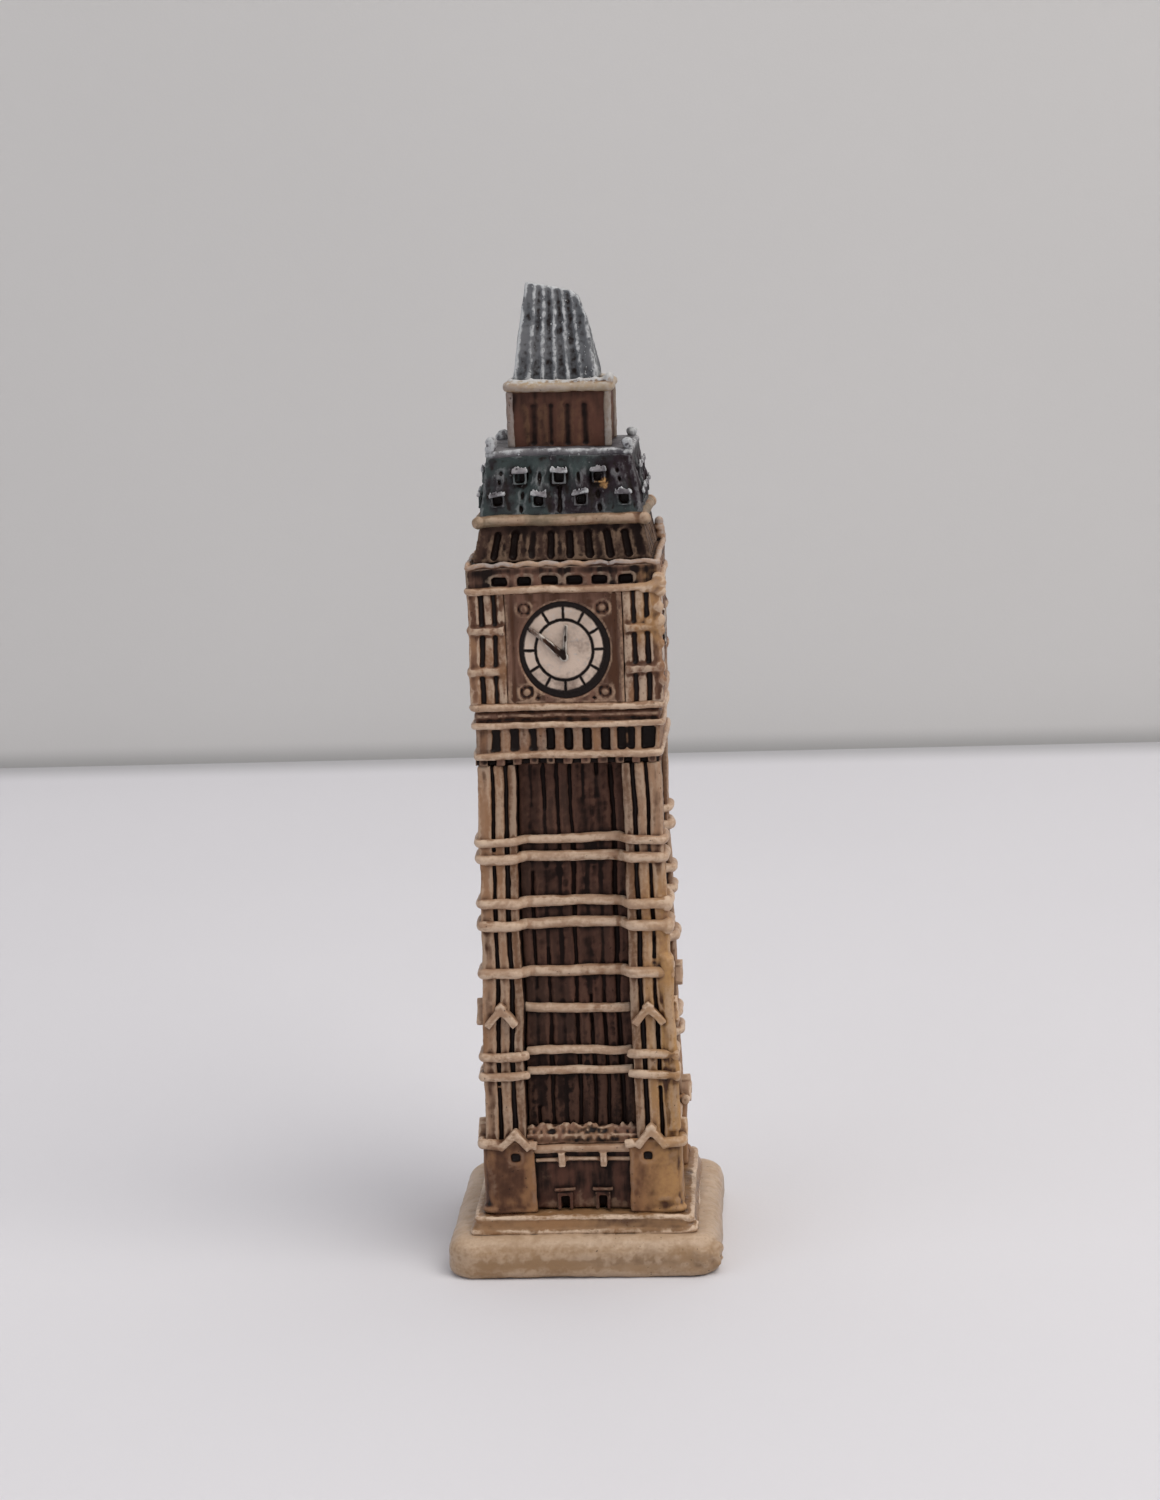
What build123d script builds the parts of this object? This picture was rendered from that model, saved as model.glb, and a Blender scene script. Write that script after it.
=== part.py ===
"""Miniature clock tower: a cast and painted souvenir, modelled as its moulded members.

Millimetres, +Z up, origin at the centre of the underside, front face towards -Y.
Every member is its own solid, and members meet face to face.
"""
import os
from math import cos, radians, sin

from build123d import *

os.makedirs("parts", exist_ok=True)

# Plinth
slab_width = 23.7
slab_height = 3.4
slab_corner_radius = 2.5
slab_top_round = 1.4
slab_bottom_round = 0.7
step_foot_width = 19.8
step_height = 1.6
step_corner_radius = 1.2
step_batter = 14.0  # degrees that the step's sides lean in
step_top_round = 0.3

# Ground storey
ground_width = 17.3
ground_height = 6.2
turret_width = 4.55
turret_corner_radius = 1.2
ground_recess_depth = 0.8
bay_width = 3.2
window_width = 0.85
window_height = 0.75
window_depth = 0.4
window_head_drop = 0.85
hood_projection = 0.45
hood_run = 1.55
hood_rise = 1.5
hood_band = 1.1
hood_eave_height = 0.6  # eave above the storey's top

# Entrances in the recesses of the ground storey
ledge_height = 0.73
ledge_drop = 0.24  # ledge top below the storey's top
ledge_projection = 0.55
sill_strip_height = 0.4
sill_strip_drop = 0.53
sill_strip_projection = 0.28
bracket_width = 0.6
bracket_height = 1.4
bracket_projection = 0.65
bracket_spacing = 3.6
door_spacing = 3.3
door_frame_width = 1.5
door_frame_height = 1.7
door_opening_width = 0.6
door_opening_height = 1.15
door_frame_projection = 0.25
lintel_width = 1.95
lintel_height = 0.25
lintel_projection = 0.4

# Shaft
shaft_height = 33.2
shaft_foot_width = 16.7
shaft_head_width = 15.6
pier_width = 3.54
pier_rib_width = 0.75
pier_groove_width = 0.3
pier_groove_depth = 0.4
pier_corner_cut = 0.45
recess_depth = 1.45
rib_count = 7
rib_width = 0.74
rib_pitch = 1.45
rib_height = 0.47
panel_thickness = 0.63
frieze_height = 1.25
frieze_tooth = 0.6
frieze_projection = 0.15
frieze_teeth = 10

# String courses: rounded rods round the shaft, as (centre height, height), top one first
course_levels = ((37.85, 0.8), (36.35, 0.95), (32.35, 0.95), (30.4, 1.0), (26.2, 1.0))
broken_course_levels = ((18.95, 0.85), (17.2, 0.8))
course_projection = 0.45
course_bend_width = 1.0
course_corner_cut = 0.6
course_round = 0.3
course_gap = 0.35
gablet_bar_level = 22.9
gablet_bar_height = 0.8
gablet_eave_level = 22.95
gablet_run = 1.2
gablet_rise = 1.5
gablet_band = 1.15
gablet_projection = 0.5

# Gallery under the clock stage
dentil_height = 0.5
dentil_projection = 0.15
dentil_width = 0.78
dentil_depth = 0.5
gallery_rod_width = 16.34
gallery_rod_height = 0.7
arcade_width = 15.7
arcade_height = 2.0
arcade_count = 10
arcade_pitch = 1.53
arcade_opening = 0.72
arcade_depth = 0.6
gallery_cap_width = 16.56
gallery_cap_height = 0.6
gallery_frieze_width = 15.9
gallery_frieze_height = 0.96
clock_sill_width = 16.66
clock_sill_height = 0.7
rod_round = 0.25
rod_corner_radius = 0.5

# Clock stage
clock_stage_height = 9.3
clock_pier_face = 8.15
clock_pier_width = 3.2
clock_pier_rib = 0.85
clock_pier_groove = 0.25
clock_pier_groove_depth = 0.35
clock_pier_corner_radius = 0.45
clock_bar_height = 0.75
clock_bar_projection = 0.2
clock_bar_levels = (2.7, 6.25)  # centre heights above the sill
clock_core_face = 7.85
frame_thickness = 0.27
frame_groove_width = 0.16
frame_groove_inset = 0.55
frame_groove_depth = 0.2
dial_height = 4.45  # dial centre above the sill
dial_radius_x = 3.87
dial_radius_z = 4.1
dial_rim_width = 0.42
dial_thickness = 0.2
dial_rim_depth = 0.1
dial_line_width = 0.11
dial_line_depth = 0.06
dial_inner_radius = 2.42
dial_marks = 12
dial_mark_margin = 0.08
roundel_offset_x = 3.3
roundel_offset_z = 3.55
roundel_radius = 0.53
roundel_line = 0.12
hub_drop = 0.6
hub_radius = 0.36
hand_thickness = 0.26
hand_root_width = 0.5
hand_tip_width = 0.22
long_hand = (-2.8, 2.5)
short_hand = (0.1, 2.65)

# Parapet, belfry and roof
cornice_width = 16.8
cornice_height = 0.7
parapet_width = 16.2
parapet_height = 1.4
parapet_count = 6
parapet_pitch = 2.1
parapet_opening = 1.2
parapet_opening_height = 0.75
parapet_depth = 0.5
rail_width = 16.48
rail_height = 0.7
scallop_count = 9
scallop_pitch = 1.76
scallop_radius = 0.75
scallop_depth = 0.3
scallop_length = 0.45
belfry_foot_width = 15.0
belfry_head_width = 13.8
belfry_height = 2.7
belfry_count = 7
belfry_pitch = 1.84
belfry_opening = 0.72
belfry_opening_height = 2.1
belfry_depth = 0.45
belfry_band_width = 14.64
belfry_band_height = 1.0
roof_foot_width = 13.68
roof_head_width = 12.4
roof_height = 4.7
roof_groove_width = 0.3
roof_groove_depth = 0.35
dormer_width = 1.3
dormer_height = 1.2
dormer_projection = 0.35
dormer_window_width = 0.9
dormer_window_height = 0.8
dormer_window_depth = 0.25
dormer_cap_width = 1.6
dormer_cap_height = 0.4
dormer_cap_projection = 0.6
lower_dormers = (0.6, (-5.3, -1.78, 1.78, 5.3))  # foot above the eaves, centres along a face
upper_dormers = (2.5, (-3.35, 0.0, 3.35))
roof_rail_width = 12.6
roof_rail_height = 0.75
knob_radius = 0.6
knob_sink = 0.15
knob_inset = 0.6

# Lantern and spire
lantern_face = 4.15
lantern_height = 4.55
lantern_post_width = 0.9
lantern_post_projection = 0.25
lantern_slots = 4
lantern_slot_pitch = 1.5
lantern_slot_width = 0.6
lantern_slot_height = 3.6
lantern_slot_depth = 0.35
lantern_cornice_width = 9.4
lantern_cornice_height = 1.2
lantern_cornice_round = 0.35
spire_foot_width = 7.2
spire_height = 7.7
spire_lean_in = 0.19  # how far each side leans in for each millimetre of height
flutes = 6
flute_depth = 0.22
break_points = ((-3.0, 7.75), (-2.2, 7.7), (-1.2, 7.35), (0.2, 7.3), (1.4, 6.75), (2.3, 5.3), (3.0, 3.3))

# Heights that follow from the members above
ground_foot = slab_height + step_height
shaft_foot = ground_foot + ground_height
shaft_head = shaft_foot + shaft_height
gallery_foot = shaft_head + dentil_height
arcade_foot = gallery_foot + gallery_rod_height
gallery_cap_foot = arcade_foot + arcade_height
gallery_frieze_foot = gallery_cap_foot + gallery_cap_height
clock_sill_foot = gallery_frieze_foot + gallery_frieze_height
clock_foot = clock_sill_foot + clock_sill_height
cornice_foot = clock_foot + clock_stage_height
parapet_foot = cornice_foot + cornice_height
rail_foot = parapet_foot + parapet_height
belfry_foot = rail_foot + rail_height
belfry_band_foot = belfry_foot + belfry_height
roof_foot = belfry_band_foot + belfry_band_height
roof_rail_foot = roof_foot + roof_height
lantern_foot = roof_rail_foot + roof_rail_height
lantern_cornice_foot = lantern_foot + lantern_height
spire_foot = lantern_cornice_foot + lantern_cornice_height

# Distances from the axis that several members share
ground_face = ground_width / 2
turret_inner = ground_face - turret_width
ground_recess_face = ground_face - ground_recess_depth
bay_centre = turret_inner + bay_width / 2
shaft_face = shaft_foot_width / 2
pier_inner = shaft_face - pier_width
rib_face = shaft_face - recess_depth
panel_floor = rib_face - rib_height
panel_back = panel_floor - panel_thickness
clock_pier_inner = clock_pier_face - clock_pier_width
lantern_post_face = lantern_face + lantern_post_projection
lantern_post_inner = lantern_post_face - lantern_post_width

sides = {"front": 0, "right": 90, "back": 180, "left": 270}
corners = {"front_right": 0, "back_right": 90, "back_left": 180, "front_left": 270}


def level_plane(height, angle=0):
    """Level plane at a height, turned about the axis."""
    return Plane.XY.offset(height).rotated((0, 0, angle))


def face_plane(angle, distance, height=0):
    """Upright plane that looks outwards: local x runs along the face and local y is up."""
    outward = Vector(sin(radians(angle)), -cos(radians(angle)), 0)
    along = Vector(cos(radians(angle)), sin(radians(angle)), 0)
    return Plane(origin=outward * distance + Vector(0, 0, height), x_dir=along, z_dir=outward)


def shaft_scale(height):
    """Scale of the shaft's plan at a height, from 1 at its foot."""
    share = (height - shaft_foot) / shaft_height
    return 1 + share * (shaft_head_width / shaft_foot_width - 1)


def scaled(points, scale):
    """The same outline, larger or smaller about the axis."""
    return [(x * scale, y * scale) for x, y in points]


def cross_outline(arm_half, arm_reach):
    """A square with its corners cut out, which leaves room for the corner piers."""
    quarter = [(arm_half, -arm_reach), (arm_half, -arm_half), (arm_reach, -arm_half)]
    points = []
    for turn in range(4):
        for x, y in quarter:
            for _ in range(turn):
                x, y = -y, x
            points.append((x, y))
    return points


def pier_outline(inner, face, rib, groove, depth, corner_cut):
    """Corner pier at +x -y: two ribs and a corner post on each outward face."""
    half = [(inner, -face)]
    start = inner + rib
    for _ in range(2):
        half += [(start, -face), (start, -face + depth)]
        half += [(start + groove, -face + depth), (start + groove, -face)]
        start += rib + groove
    half.append((face - corner_cut, -face))
    other = [(-y, -x) for x, y in reversed(half)]
    return half + other + [(inner, -inner)]


def rib_outline():
    """Plate at the back of a recess, with its row of ribs standing on the outer side."""
    points = [(-pier_inner, -panel_back), (-pier_inner, -panel_floor)]
    for index in range(rib_count):
        centre = (index - (rib_count - 1) / 2) * rib_pitch
        points += [(centre - rib_width / 2, -panel_floor), (centre - rib_width / 2, -rib_face)]
        points += [(centre + rib_width / 2, -rib_face), (centre + rib_width / 2, -panel_floor)]
    points += [(pier_inner, -panel_floor), (pier_inner, -panel_back)]
    return points


def course_outline(scale):
    """Plan of a string course: proud of the piers, and bent inwards over each recess."""
    proud = shaft_face * scale + course_projection
    sunk = rib_face * scale + course_projection
    bend_out = pier_inner * scale + course_projection / 2
    bend_in = bend_out - course_bend_width
    side = [(-proud + course_corner_cut, -proud), (-bend_out, -proud), (-bend_in, -sunk)]
    side += [(bend_in, -sunk), (bend_out, -proud), (proud - course_corner_cut, -proud)]
    points = []
    for turn in range(4):
        for x, y in side:
            for _ in range(turn):
                x, y = -y, x
            points.append((x, y))
    return points


def chevron(centre, run, rise, band, eave, side, level_end=None):
    """Gable band: up one slope and down the other, and level to level_end if that is given."""
    lower = [(centre - run, eave - band), (centre, eave + rise - band), (centre + run, eave - band)]
    upper = [(centre + run, eave), (centre, eave + rise), (centre - run, eave)]
    if level_end is not None:
        lower.append((level_end, eave - band))
        upper.insert(0, (level_end, eave))
    return [(side * x, y) for x, y in lower + upper]


def plate(height, width, thickness, round_radius):
    """Square moulding right across the tower, with its rim rounded like a rod."""
    with BuildPart() as moulding:
        with BuildSketch(level_plane(height)):
            RectangleRounded(width, width, rod_corner_radius)
        extrude(amount=thickness)
        rims = moulding.faces().filter_by(Axis.Z).edges()
        fillet(rims, radius=min(round_radius, thickness * 0.45))
    return moulding.part


def store(part, name):
    """Label one finished member and write it to its own file."""
    part.label = name
    export_step(part, f"parts/{name}.step")


# ---------------------------------------------------------------- plinth
with BuildPart() as plinth_slab:
    with BuildSketch():
        RectangleRounded(slab_width, slab_width, slab_corner_radius)
    extrude(amount=slab_height)
    fillet(plinth_slab.faces().sort_by(Axis.Z)[-1].edges(), radius=slab_top_round)
    fillet(plinth_slab.faces().sort_by(Axis.Z)[0].edges(), radius=slab_bottom_round)
store(plinth_slab.part, "plinth_slab")

with BuildPart() as plinth_step:
    with BuildSketch(level_plane(slab_height)):
        RectangleRounded(step_foot_width, step_foot_width, step_corner_radius)
    extrude(amount=step_height, taper=step_batter)
    fillet(plinth_step.faces().sort_by(Axis.Z)[-1].edges(), radius=step_top_round)
store(plinth_step.part, "plinth_step")

# ---------------------------------------------------------------- ground storey
with BuildPart() as ground_core:
    with BuildSketch(level_plane(ground_foot)):
        Polygon(*cross_outline(turret_inner, ground_recess_face))
    extrude(amount=ground_height)
store(ground_core.part, "ground_core")

with BuildPart() as ground_turrets:
    for angle in corners.values():
        with BuildSketch(level_plane(ground_foot, angle)):
            with Locations((turret_inner, -ground_face)):
                Rectangle(turret_width, turret_width, align=(Align.MIN, Align.MIN))
        extrude(amount=ground_height)
    upright = ground_turrets.edges().filter_by(Axis.Z)
    turret_middle = turret_inner + turret_width / 2
    right_or_left = upright.filter_by(lambda edge: abs(edge.center().X) > turret_middle)
    outer_edges = right_or_left.filter_by(lambda edge: abs(edge.center().Y) > turret_middle)
    fillet(outer_edges, radius=turret_corner_radius)
    for angle in sides.values():
        with BuildSketch(face_plane(angle, ground_face, shaft_foot - window_head_drop)):
            with Locations((-bay_centre, 0), (bay_centre, 0)):
                Rectangle(window_width, window_height, align=(Align.CENTER, Align.MAX))
        extrude(amount=-window_depth, mode=Mode.SUBTRACT)
store(ground_turrets.part, "ground_turrets")

with BuildPart() as entrance_ledges:
    for angle in sides.values():
        with BuildSketch(face_plane(angle, ground_recess_face, shaft_foot - ledge_drop)):
            Rectangle(2 * turret_inner, ledge_height, align=(Align.CENTER, Align.MAX))
        extrude(amount=ledge_projection)
        with BuildSketch(face_plane(angle, ground_recess_face, shaft_foot - ledge_drop - ledge_height)):
            with Locations((-bracket_spacing / 2, 0), (bracket_spacing / 2, 0)):
                Rectangle(bracket_width, bracket_height, align=(Align.CENTER, Align.MAX))
        extrude(amount=bracket_projection)
        strip_top = shaft_foot - ledge_drop - ledge_height - sill_strip_drop
        with BuildSketch(face_plane(angle, ground_recess_face, strip_top)):
            Rectangle(2 * turret_inner, sill_strip_height, align=(Align.CENTER, Align.MAX))
        extrude(amount=sill_strip_projection)
store(entrance_ledges.part, "entrance_ledges")

with BuildPart() as doorways:
    for angle in sides.values():
        with BuildSketch(face_plane(angle, ground_recess_face, ground_foot)):
            with Locations((-door_spacing / 2, 0), (door_spacing / 2, 0)):
                Rectangle(door_frame_width, door_frame_height, align=(Align.CENTER, Align.MIN))
                Rectangle(
                    door_opening_width,
                    door_opening_height,
                    align=(Align.CENTER, Align.MIN),
                    mode=Mode.SUBTRACT,
                )
        extrude(amount=door_frame_projection)
        with BuildSketch(face_plane(angle, ground_recess_face, ground_foot + door_frame_height)):
            with Locations((-door_spacing / 2, 0), (door_spacing / 2, 0)):
                Rectangle(lintel_width, lintel_height, align=(Align.CENTER, Align.MIN))
        extrude(amount=lintel_projection)
store(doorways.part, "doorways")

# ---------------------------------------------------------------- shaft
head_scale = shaft_scale(shaft_head)

with BuildPart() as shaft_core:
    for height, scale in ((shaft_foot, 1), (shaft_head, head_scale)):
        with BuildSketch(level_plane(height)):
            Polygon(*scaled(cross_outline(pier_inner, panel_back), scale))
    loft(ruled=True)
store(shaft_core.part, "shaft_core")

shaft_piers = []
pier_points = pier_outline(
    pier_inner, shaft_face, pier_rib_width, pier_groove_width, pier_groove_depth, pier_corner_cut
)
for name, angle in corners.items():
    with BuildPart() as shaft_pier:
        for height, scale in ((shaft_foot, 1), (shaft_head, head_scale)):
            with BuildSketch(level_plane(height, angle)):
                Polygon(*scaled(pier_points, scale))
        loft(ruled=True)
    store(shaft_pier.part, f"shaft_pier_{name}")
    shaft_piers.append(shaft_pier.part)

rib_panels = []
for name, angle in sides.items():
    with BuildPart() as rib_panel:
        for height, scale in ((shaft_foot, 1), (shaft_head, head_scale)):
            with BuildSketch(level_plane(height, angle)):
                Polygon(*scaled(rib_outline(), scale))
        loft(ruled=True)
    store(rib_panel.part, f"rib_panel_{name}")
    rib_panels.append(rib_panel.part)

shaft_members = [shaft_core.part] + shaft_piers + rib_panels

with BuildPart() as foot_frieze:
    frieze_face = ground_recess_face + frieze_projection
    tooth_pitch = 2 * pier_inner / frieze_teeth
    frieze_points = [(pier_inner, 0), (-pier_inner, 0)]
    for tooth in range(frieze_teeth):
        left = -pier_inner + tooth * tooth_pitch
        frieze_points.append((left, frieze_height - frieze_tooth))
        frieze_points.append((left + tooth_pitch / 2, frieze_height))
    frieze_points.append((pier_inner, frieze_height - frieze_tooth))
    for angle in sides.values():
        with BuildSketch(face_plane(angle, frieze_face, shaft_foot)):
            Polygon(*frieze_points)
        extrude(amount=panel_floor - frieze_face)
    add(shaft_members, mode=Mode.SUBTRACT)
store(foot_frieze.part, "foot_frieze")

with BuildPart() as turret_hoods:
    hood_face = ground_face + hood_projection
    hood_points = [
        chevron(bay_centre, hood_run, hood_rise, hood_band, hood_eave_height, side, hood_face)
        for side in (1, -1)
    ]
    for angle in sides.values():
        with BuildSketch(face_plane(angle, hood_face, shaft_foot)):
            for points in hood_points:
                Polygon(*points)
        extrude(amount=rib_face - hood_face)
    add(shaft_members + [ground_turrets.part, ground_core.part], mode=Mode.SUBTRACT)
    add([entrance_ledges.part, foot_frieze.part], mode=Mode.SUBTRACT)
store(turret_hoods.part, "turret_hoods")


def string_course(centre, height):
    """Solid rod course, still filled where the shaft passes through it."""
    with BuildPart() as course:
        with BuildSketch(level_plane(centre - height / 2)):
            Polygon(*course_outline(shaft_scale(centre)))
        extrude(amount=height)
        rims = course.faces().filter_by(Axis.Z).edges()
        fillet(rims, radius=min(course_round, height * 0.4))
    return course.part


for number, (centre, height) in enumerate(course_levels, start=1):
    with BuildPart() as course:
        add(string_course(centre, height))
        add(shaft_members, mode=Mode.SUBTRACT)
    store(course.part, f"string_course_{number}")

for number, (centre, height) in enumerate(broken_course_levels, start=6):
    gap_centre = pier_inner * shaft_scale(centre) + course_projection / 2 - course_bend_width / 2
    course_face = shaft_face + course_projection
    with BuildPart() as course:
        add(string_course(centre, height))
        for angle in sides.values():
            with BuildSketch(face_plane(angle, course_face, centre)):
                with Locations((-gap_centre, 0), (gap_centre, 0)):
                    Rectangle(course_gap, 2 * height)
            extrude(amount=panel_floor * shaft_scale(centre) - course_face, mode=Mode.SUBTRACT)
        add(shaft_members, mode=Mode.SUBTRACT)
    store(course.part, f"string_course_{number}")

with BuildPart() as gablet_bars:
    bar_scale = shaft_scale(gablet_bar_level)
    bar_face = rib_face * bar_scale + course_projection
    for angle in sides.values():
        with BuildSketch(face_plane(angle, bar_face, gablet_bar_level)):
            Rectangle(2 * pier_inner * bar_scale, gablet_bar_height)
        extrude(amount=panel_floor * bar_scale - bar_face)
    add(shaft_members, mode=Mode.SUBTRACT)
store(gablet_bars.part, "gablet_bars")

with BuildPart() as gablets:
    gablet_scale = shaft_scale(gablet_eave_level)
    gablet_face = shaft_face * gablet_scale + gablet_projection
    gablet_centre = (pier_inner + pier_rib_width + pier_groove_width / 2) * gablet_scale
    for angle in sides.values():
        with BuildSketch(face_plane(angle, gablet_face, gablet_eave_level)):
            for side in (1, -1):
                Polygon(*chevron(gablet_centre, gablet_run, gablet_rise, gablet_band, 0, side))
        extrude(amount=(shaft_face - pier_groove_depth) * gablet_scale - gablet_face)
    add(shaft_members + [gablet_bars.part], mode=Mode.SUBTRACT)
store(gablets.part, "gablets")

# ---------------------------------------------------------------- gallery
with BuildPart() as dentil_course:
    dentil_face = shaft_head_width / 2 + dentil_projection
    with BuildSketch(level_plane(shaft_head)):
        Rectangle(2 * dentil_face, 2 * dentil_face)
    extrude(amount=dentil_height)
    for angle in sides.values():
        with BuildSketch(face_plane(angle, dentil_face, shaft_head)):
            with GridLocations(arcade_pitch, 1, arcade_count, 1):
                Rectangle(arcade_pitch - dentil_width, 2 * dentil_height)
        extrude(amount=-dentil_depth, mode=Mode.SUBTRACT)
store(dentil_course.part, "dentil_course")

store(plate(gallery_foot, gallery_rod_width, gallery_rod_height, rod_round), "gallery_rod")


def pierced_block(foot, face, height, count, pitch, width, opening_height, depth):
    """Square block with a row of blind openings in each face, level with its foot."""
    with BuildPart() as block:
        with BuildSketch(level_plane(foot)):
            Rectangle(2 * face, 2 * face)
        extrude(amount=height)
        for angle in sides.values():
            with BuildSketch(face_plane(angle, face, foot)):
                with GridLocations(pitch, 1, count, 1):
                    Rectangle(width, opening_height, align=(Align.CENTER, Align.MIN))
            extrude(amount=-depth, mode=Mode.SUBTRACT)
    return block.part


gallery_arcade = pierced_block(
    arcade_foot,
    arcade_width / 2,
    arcade_height,
    arcade_count,
    arcade_pitch,
    arcade_opening,
    arcade_height,
    arcade_depth,
)
store(gallery_arcade, "gallery_arcade")
store(plate(gallery_cap_foot, gallery_cap_width, gallery_cap_height, rod_round), "gallery_cap")

with BuildPart() as gallery_frieze:
    with BuildSketch(level_plane(gallery_frieze_foot)):
        RectangleRounded(gallery_frieze_width, gallery_frieze_width, rod_corner_radius)
    extrude(amount=gallery_frieze_height)
store(gallery_frieze.part, "gallery_frieze")
store(plate(clock_sill_foot, clock_sill_width, clock_sill_height, rod_round), "clock_sill")

# ---------------------------------------------------------------- clock stage
with BuildPart() as clock_core:
    with BuildSketch(level_plane(clock_foot)):
        Polygon(*cross_outline(clock_pier_inner, clock_core_face))
    extrude(amount=clock_stage_height)
store(clock_core.part, "clock_core")

with BuildPart() as clock_piers:
    clock_pier_points = pier_outline(
        clock_pier_inner,
        clock_pier_face,
        clock_pier_rib,
        clock_pier_groove,
        clock_pier_groove_depth,
        clock_pier_corner_radius,
    )
    for angle in corners.values():
        with BuildSketch(level_plane(clock_foot, angle)):
            Polygon(*clock_pier_points)
        extrude(amount=clock_stage_height)
        for level in clock_bar_levels:
            with BuildSketch(level_plane(clock_foot + level - clock_bar_height / 2, angle)):
                with Locations((clock_pier_inner, -clock_pier_face - clock_bar_projection)):
                    bar_reach = clock_pier_width + clock_bar_projection
                    Rectangle(bar_reach, bar_reach, align=(Align.MIN, Align.MIN))
            extrude(amount=clock_bar_height)
store(clock_piers.part, "clock_piers")

dial_face = clock_core_face + dial_thickness
for name, angle in sides.items():
    dial_plane = face_plane(angle, clock_core_face, clock_foot + dial_height)

    with BuildPart() as dial_frame:
        with BuildSketch(face_plane(angle, clock_core_face, clock_foot)):
            Rectangle(2 * clock_pier_inner, clock_stage_height, align=(Align.CENTER, Align.MIN))
        extrude(amount=frame_thickness)
        with BuildSketch(dial_plane):
            Ellipse(dial_radius_x, dial_radius_z)
        extrude(amount=frame_thickness, mode=Mode.SUBTRACT)
        with BuildSketch(face_plane(angle, clock_core_face + frame_thickness, clock_foot)):
            groove_x = clock_pier_inner - frame_groove_inset
            with Locations((-groove_x, 0), (groove_x, 0)):
                Rectangle(frame_groove_width, clock_stage_height, align=(Align.CENTER, Align.MIN))
            with Locations((0, dial_height)):
                with GridLocations(2 * roundel_offset_x, 2 * roundel_offset_z, 2, 2):
                    Circle(roundel_radius)
                    Circle(roundel_radius - roundel_line, mode=Mode.SUBTRACT)
        extrude(amount=-frame_groove_depth, mode=Mode.SUBTRACT)
    store(dial_frame.part, f"dial_frame_{name}")

    with BuildPart() as dial:
        with BuildSketch(dial_plane):
            Ellipse(dial_radius_x, dial_radius_z)
        extrude(amount=dial_thickness)
        with BuildSketch(dial_plane.offset(dial_thickness)):
            Ellipse(dial_radius_x, dial_radius_z)
            Ellipse(dial_radius_x - dial_rim_width, dial_radius_z - dial_rim_width, mode=Mode.SUBTRACT)
        extrude(amount=-dial_rim_depth, mode=Mode.SUBTRACT)
        with BuildSketch(dial_plane.offset(dial_thickness)):
            mark_start = dial_inner_radius - dial_line_width / 2
            mark_length = dial_radius_x - dial_rim_width - dial_mark_margin - mark_start
            with PolarLocations(mark_start, dial_marks):
                Rectangle(mark_length, dial_line_width, align=(Align.MIN, Align.CENTER))
            Circle(dial_inner_radius)
            Circle(dial_inner_radius - dial_line_width, mode=Mode.SUBTRACT)
        extrude(amount=-dial_line_depth, mode=Mode.SUBTRACT)
    store(dial.part, f"dial_{name}")

    with BuildPart() as hands:
        with BuildSketch(face_plane(angle, dial_face, clock_foot + dial_height - hub_drop)):
            Circle(hub_radius)
            for tip_x, tip_z in (long_hand, short_hand):
                reach = Vector(tip_x, tip_z).length
                across = Vector(tip_z, -tip_x) / reach
                root = across * (hand_root_width / 2)
                tip = across * (hand_tip_width / 2)
                end = Vector(tip_x, tip_z)
                Polygon(*[(root.X, root.Y), (-root.X, -root.Y), tuple(end - tip)[:2], tuple(end + tip)[:2]])
        extrude(amount=hand_thickness)
    store(hands.part, f"clock_hands_{name}")

# ---------------------------------------------------------------- parapet and belfry
store(plate(cornice_foot, cornice_width, cornice_height, rod_round), "clock_cornice")

parapet = pierced_block(
    parapet_foot,
    parapet_width / 2,
    parapet_height,
    parapet_count,
    parapet_pitch,
    parapet_opening,
    parapet_opening_height,
    parapet_depth,
)
store(parapet, "parapet")

with BuildPart() as parapet_rail:
    with BuildSketch(level_plane(rail_foot)):
        RectangleRounded(rail_width, rail_width, rod_corner_radius)
    extrude(amount=rail_height)
    for angle in sides.values():
        with BuildSketch(face_plane(angle, rail_width / 2, belfry_foot + scallop_radius - scallop_depth)):
            with GridLocations(scallop_pitch, 1, scallop_count, 1):
                Circle(scallop_radius)
        extrude(amount=-scallop_length, mode=Mode.SUBTRACT)
store(parapet_rail.part, "parapet_rail")


def tapered_block(foot, height, foot_width, head_width):
    """Square block that narrows from its foot to its head."""
    with BuildPart() as block:
        for level, width in ((foot, foot_width), (foot + height, head_width)):
            with BuildSketch(level_plane(level)):
                Rectangle(width, width)
        loft(ruled=True)
    return block.part


with BuildPart() as belfry:
    add(tapered_block(belfry_foot, belfry_height, belfry_foot_width, belfry_head_width))
    for angle in sides.values():
        with BuildSketch(face_plane(angle, belfry_foot_width / 2, belfry_foot)):
            with GridLocations(belfry_pitch, 1, belfry_count, 1):
                Rectangle(belfry_opening, belfry_opening_height, align=(Align.CENTER, Align.MIN))
        lean = (belfry_foot_width - belfry_head_width) / 2
        extrude(amount=-belfry_depth - lean, mode=Mode.SUBTRACT)
store(belfry.part, "belfry")
store(plate(belfry_band_foot, belfry_band_width, belfry_band_height, rod_round), "belfry_band")

# ---------------------------------------------------------------- roof
roof_lean = (roof_foot_width - roof_head_width) / 2
lower_foot, lower_centres = lower_dormers
upper_foot, upper_centres = upper_dormers

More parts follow.
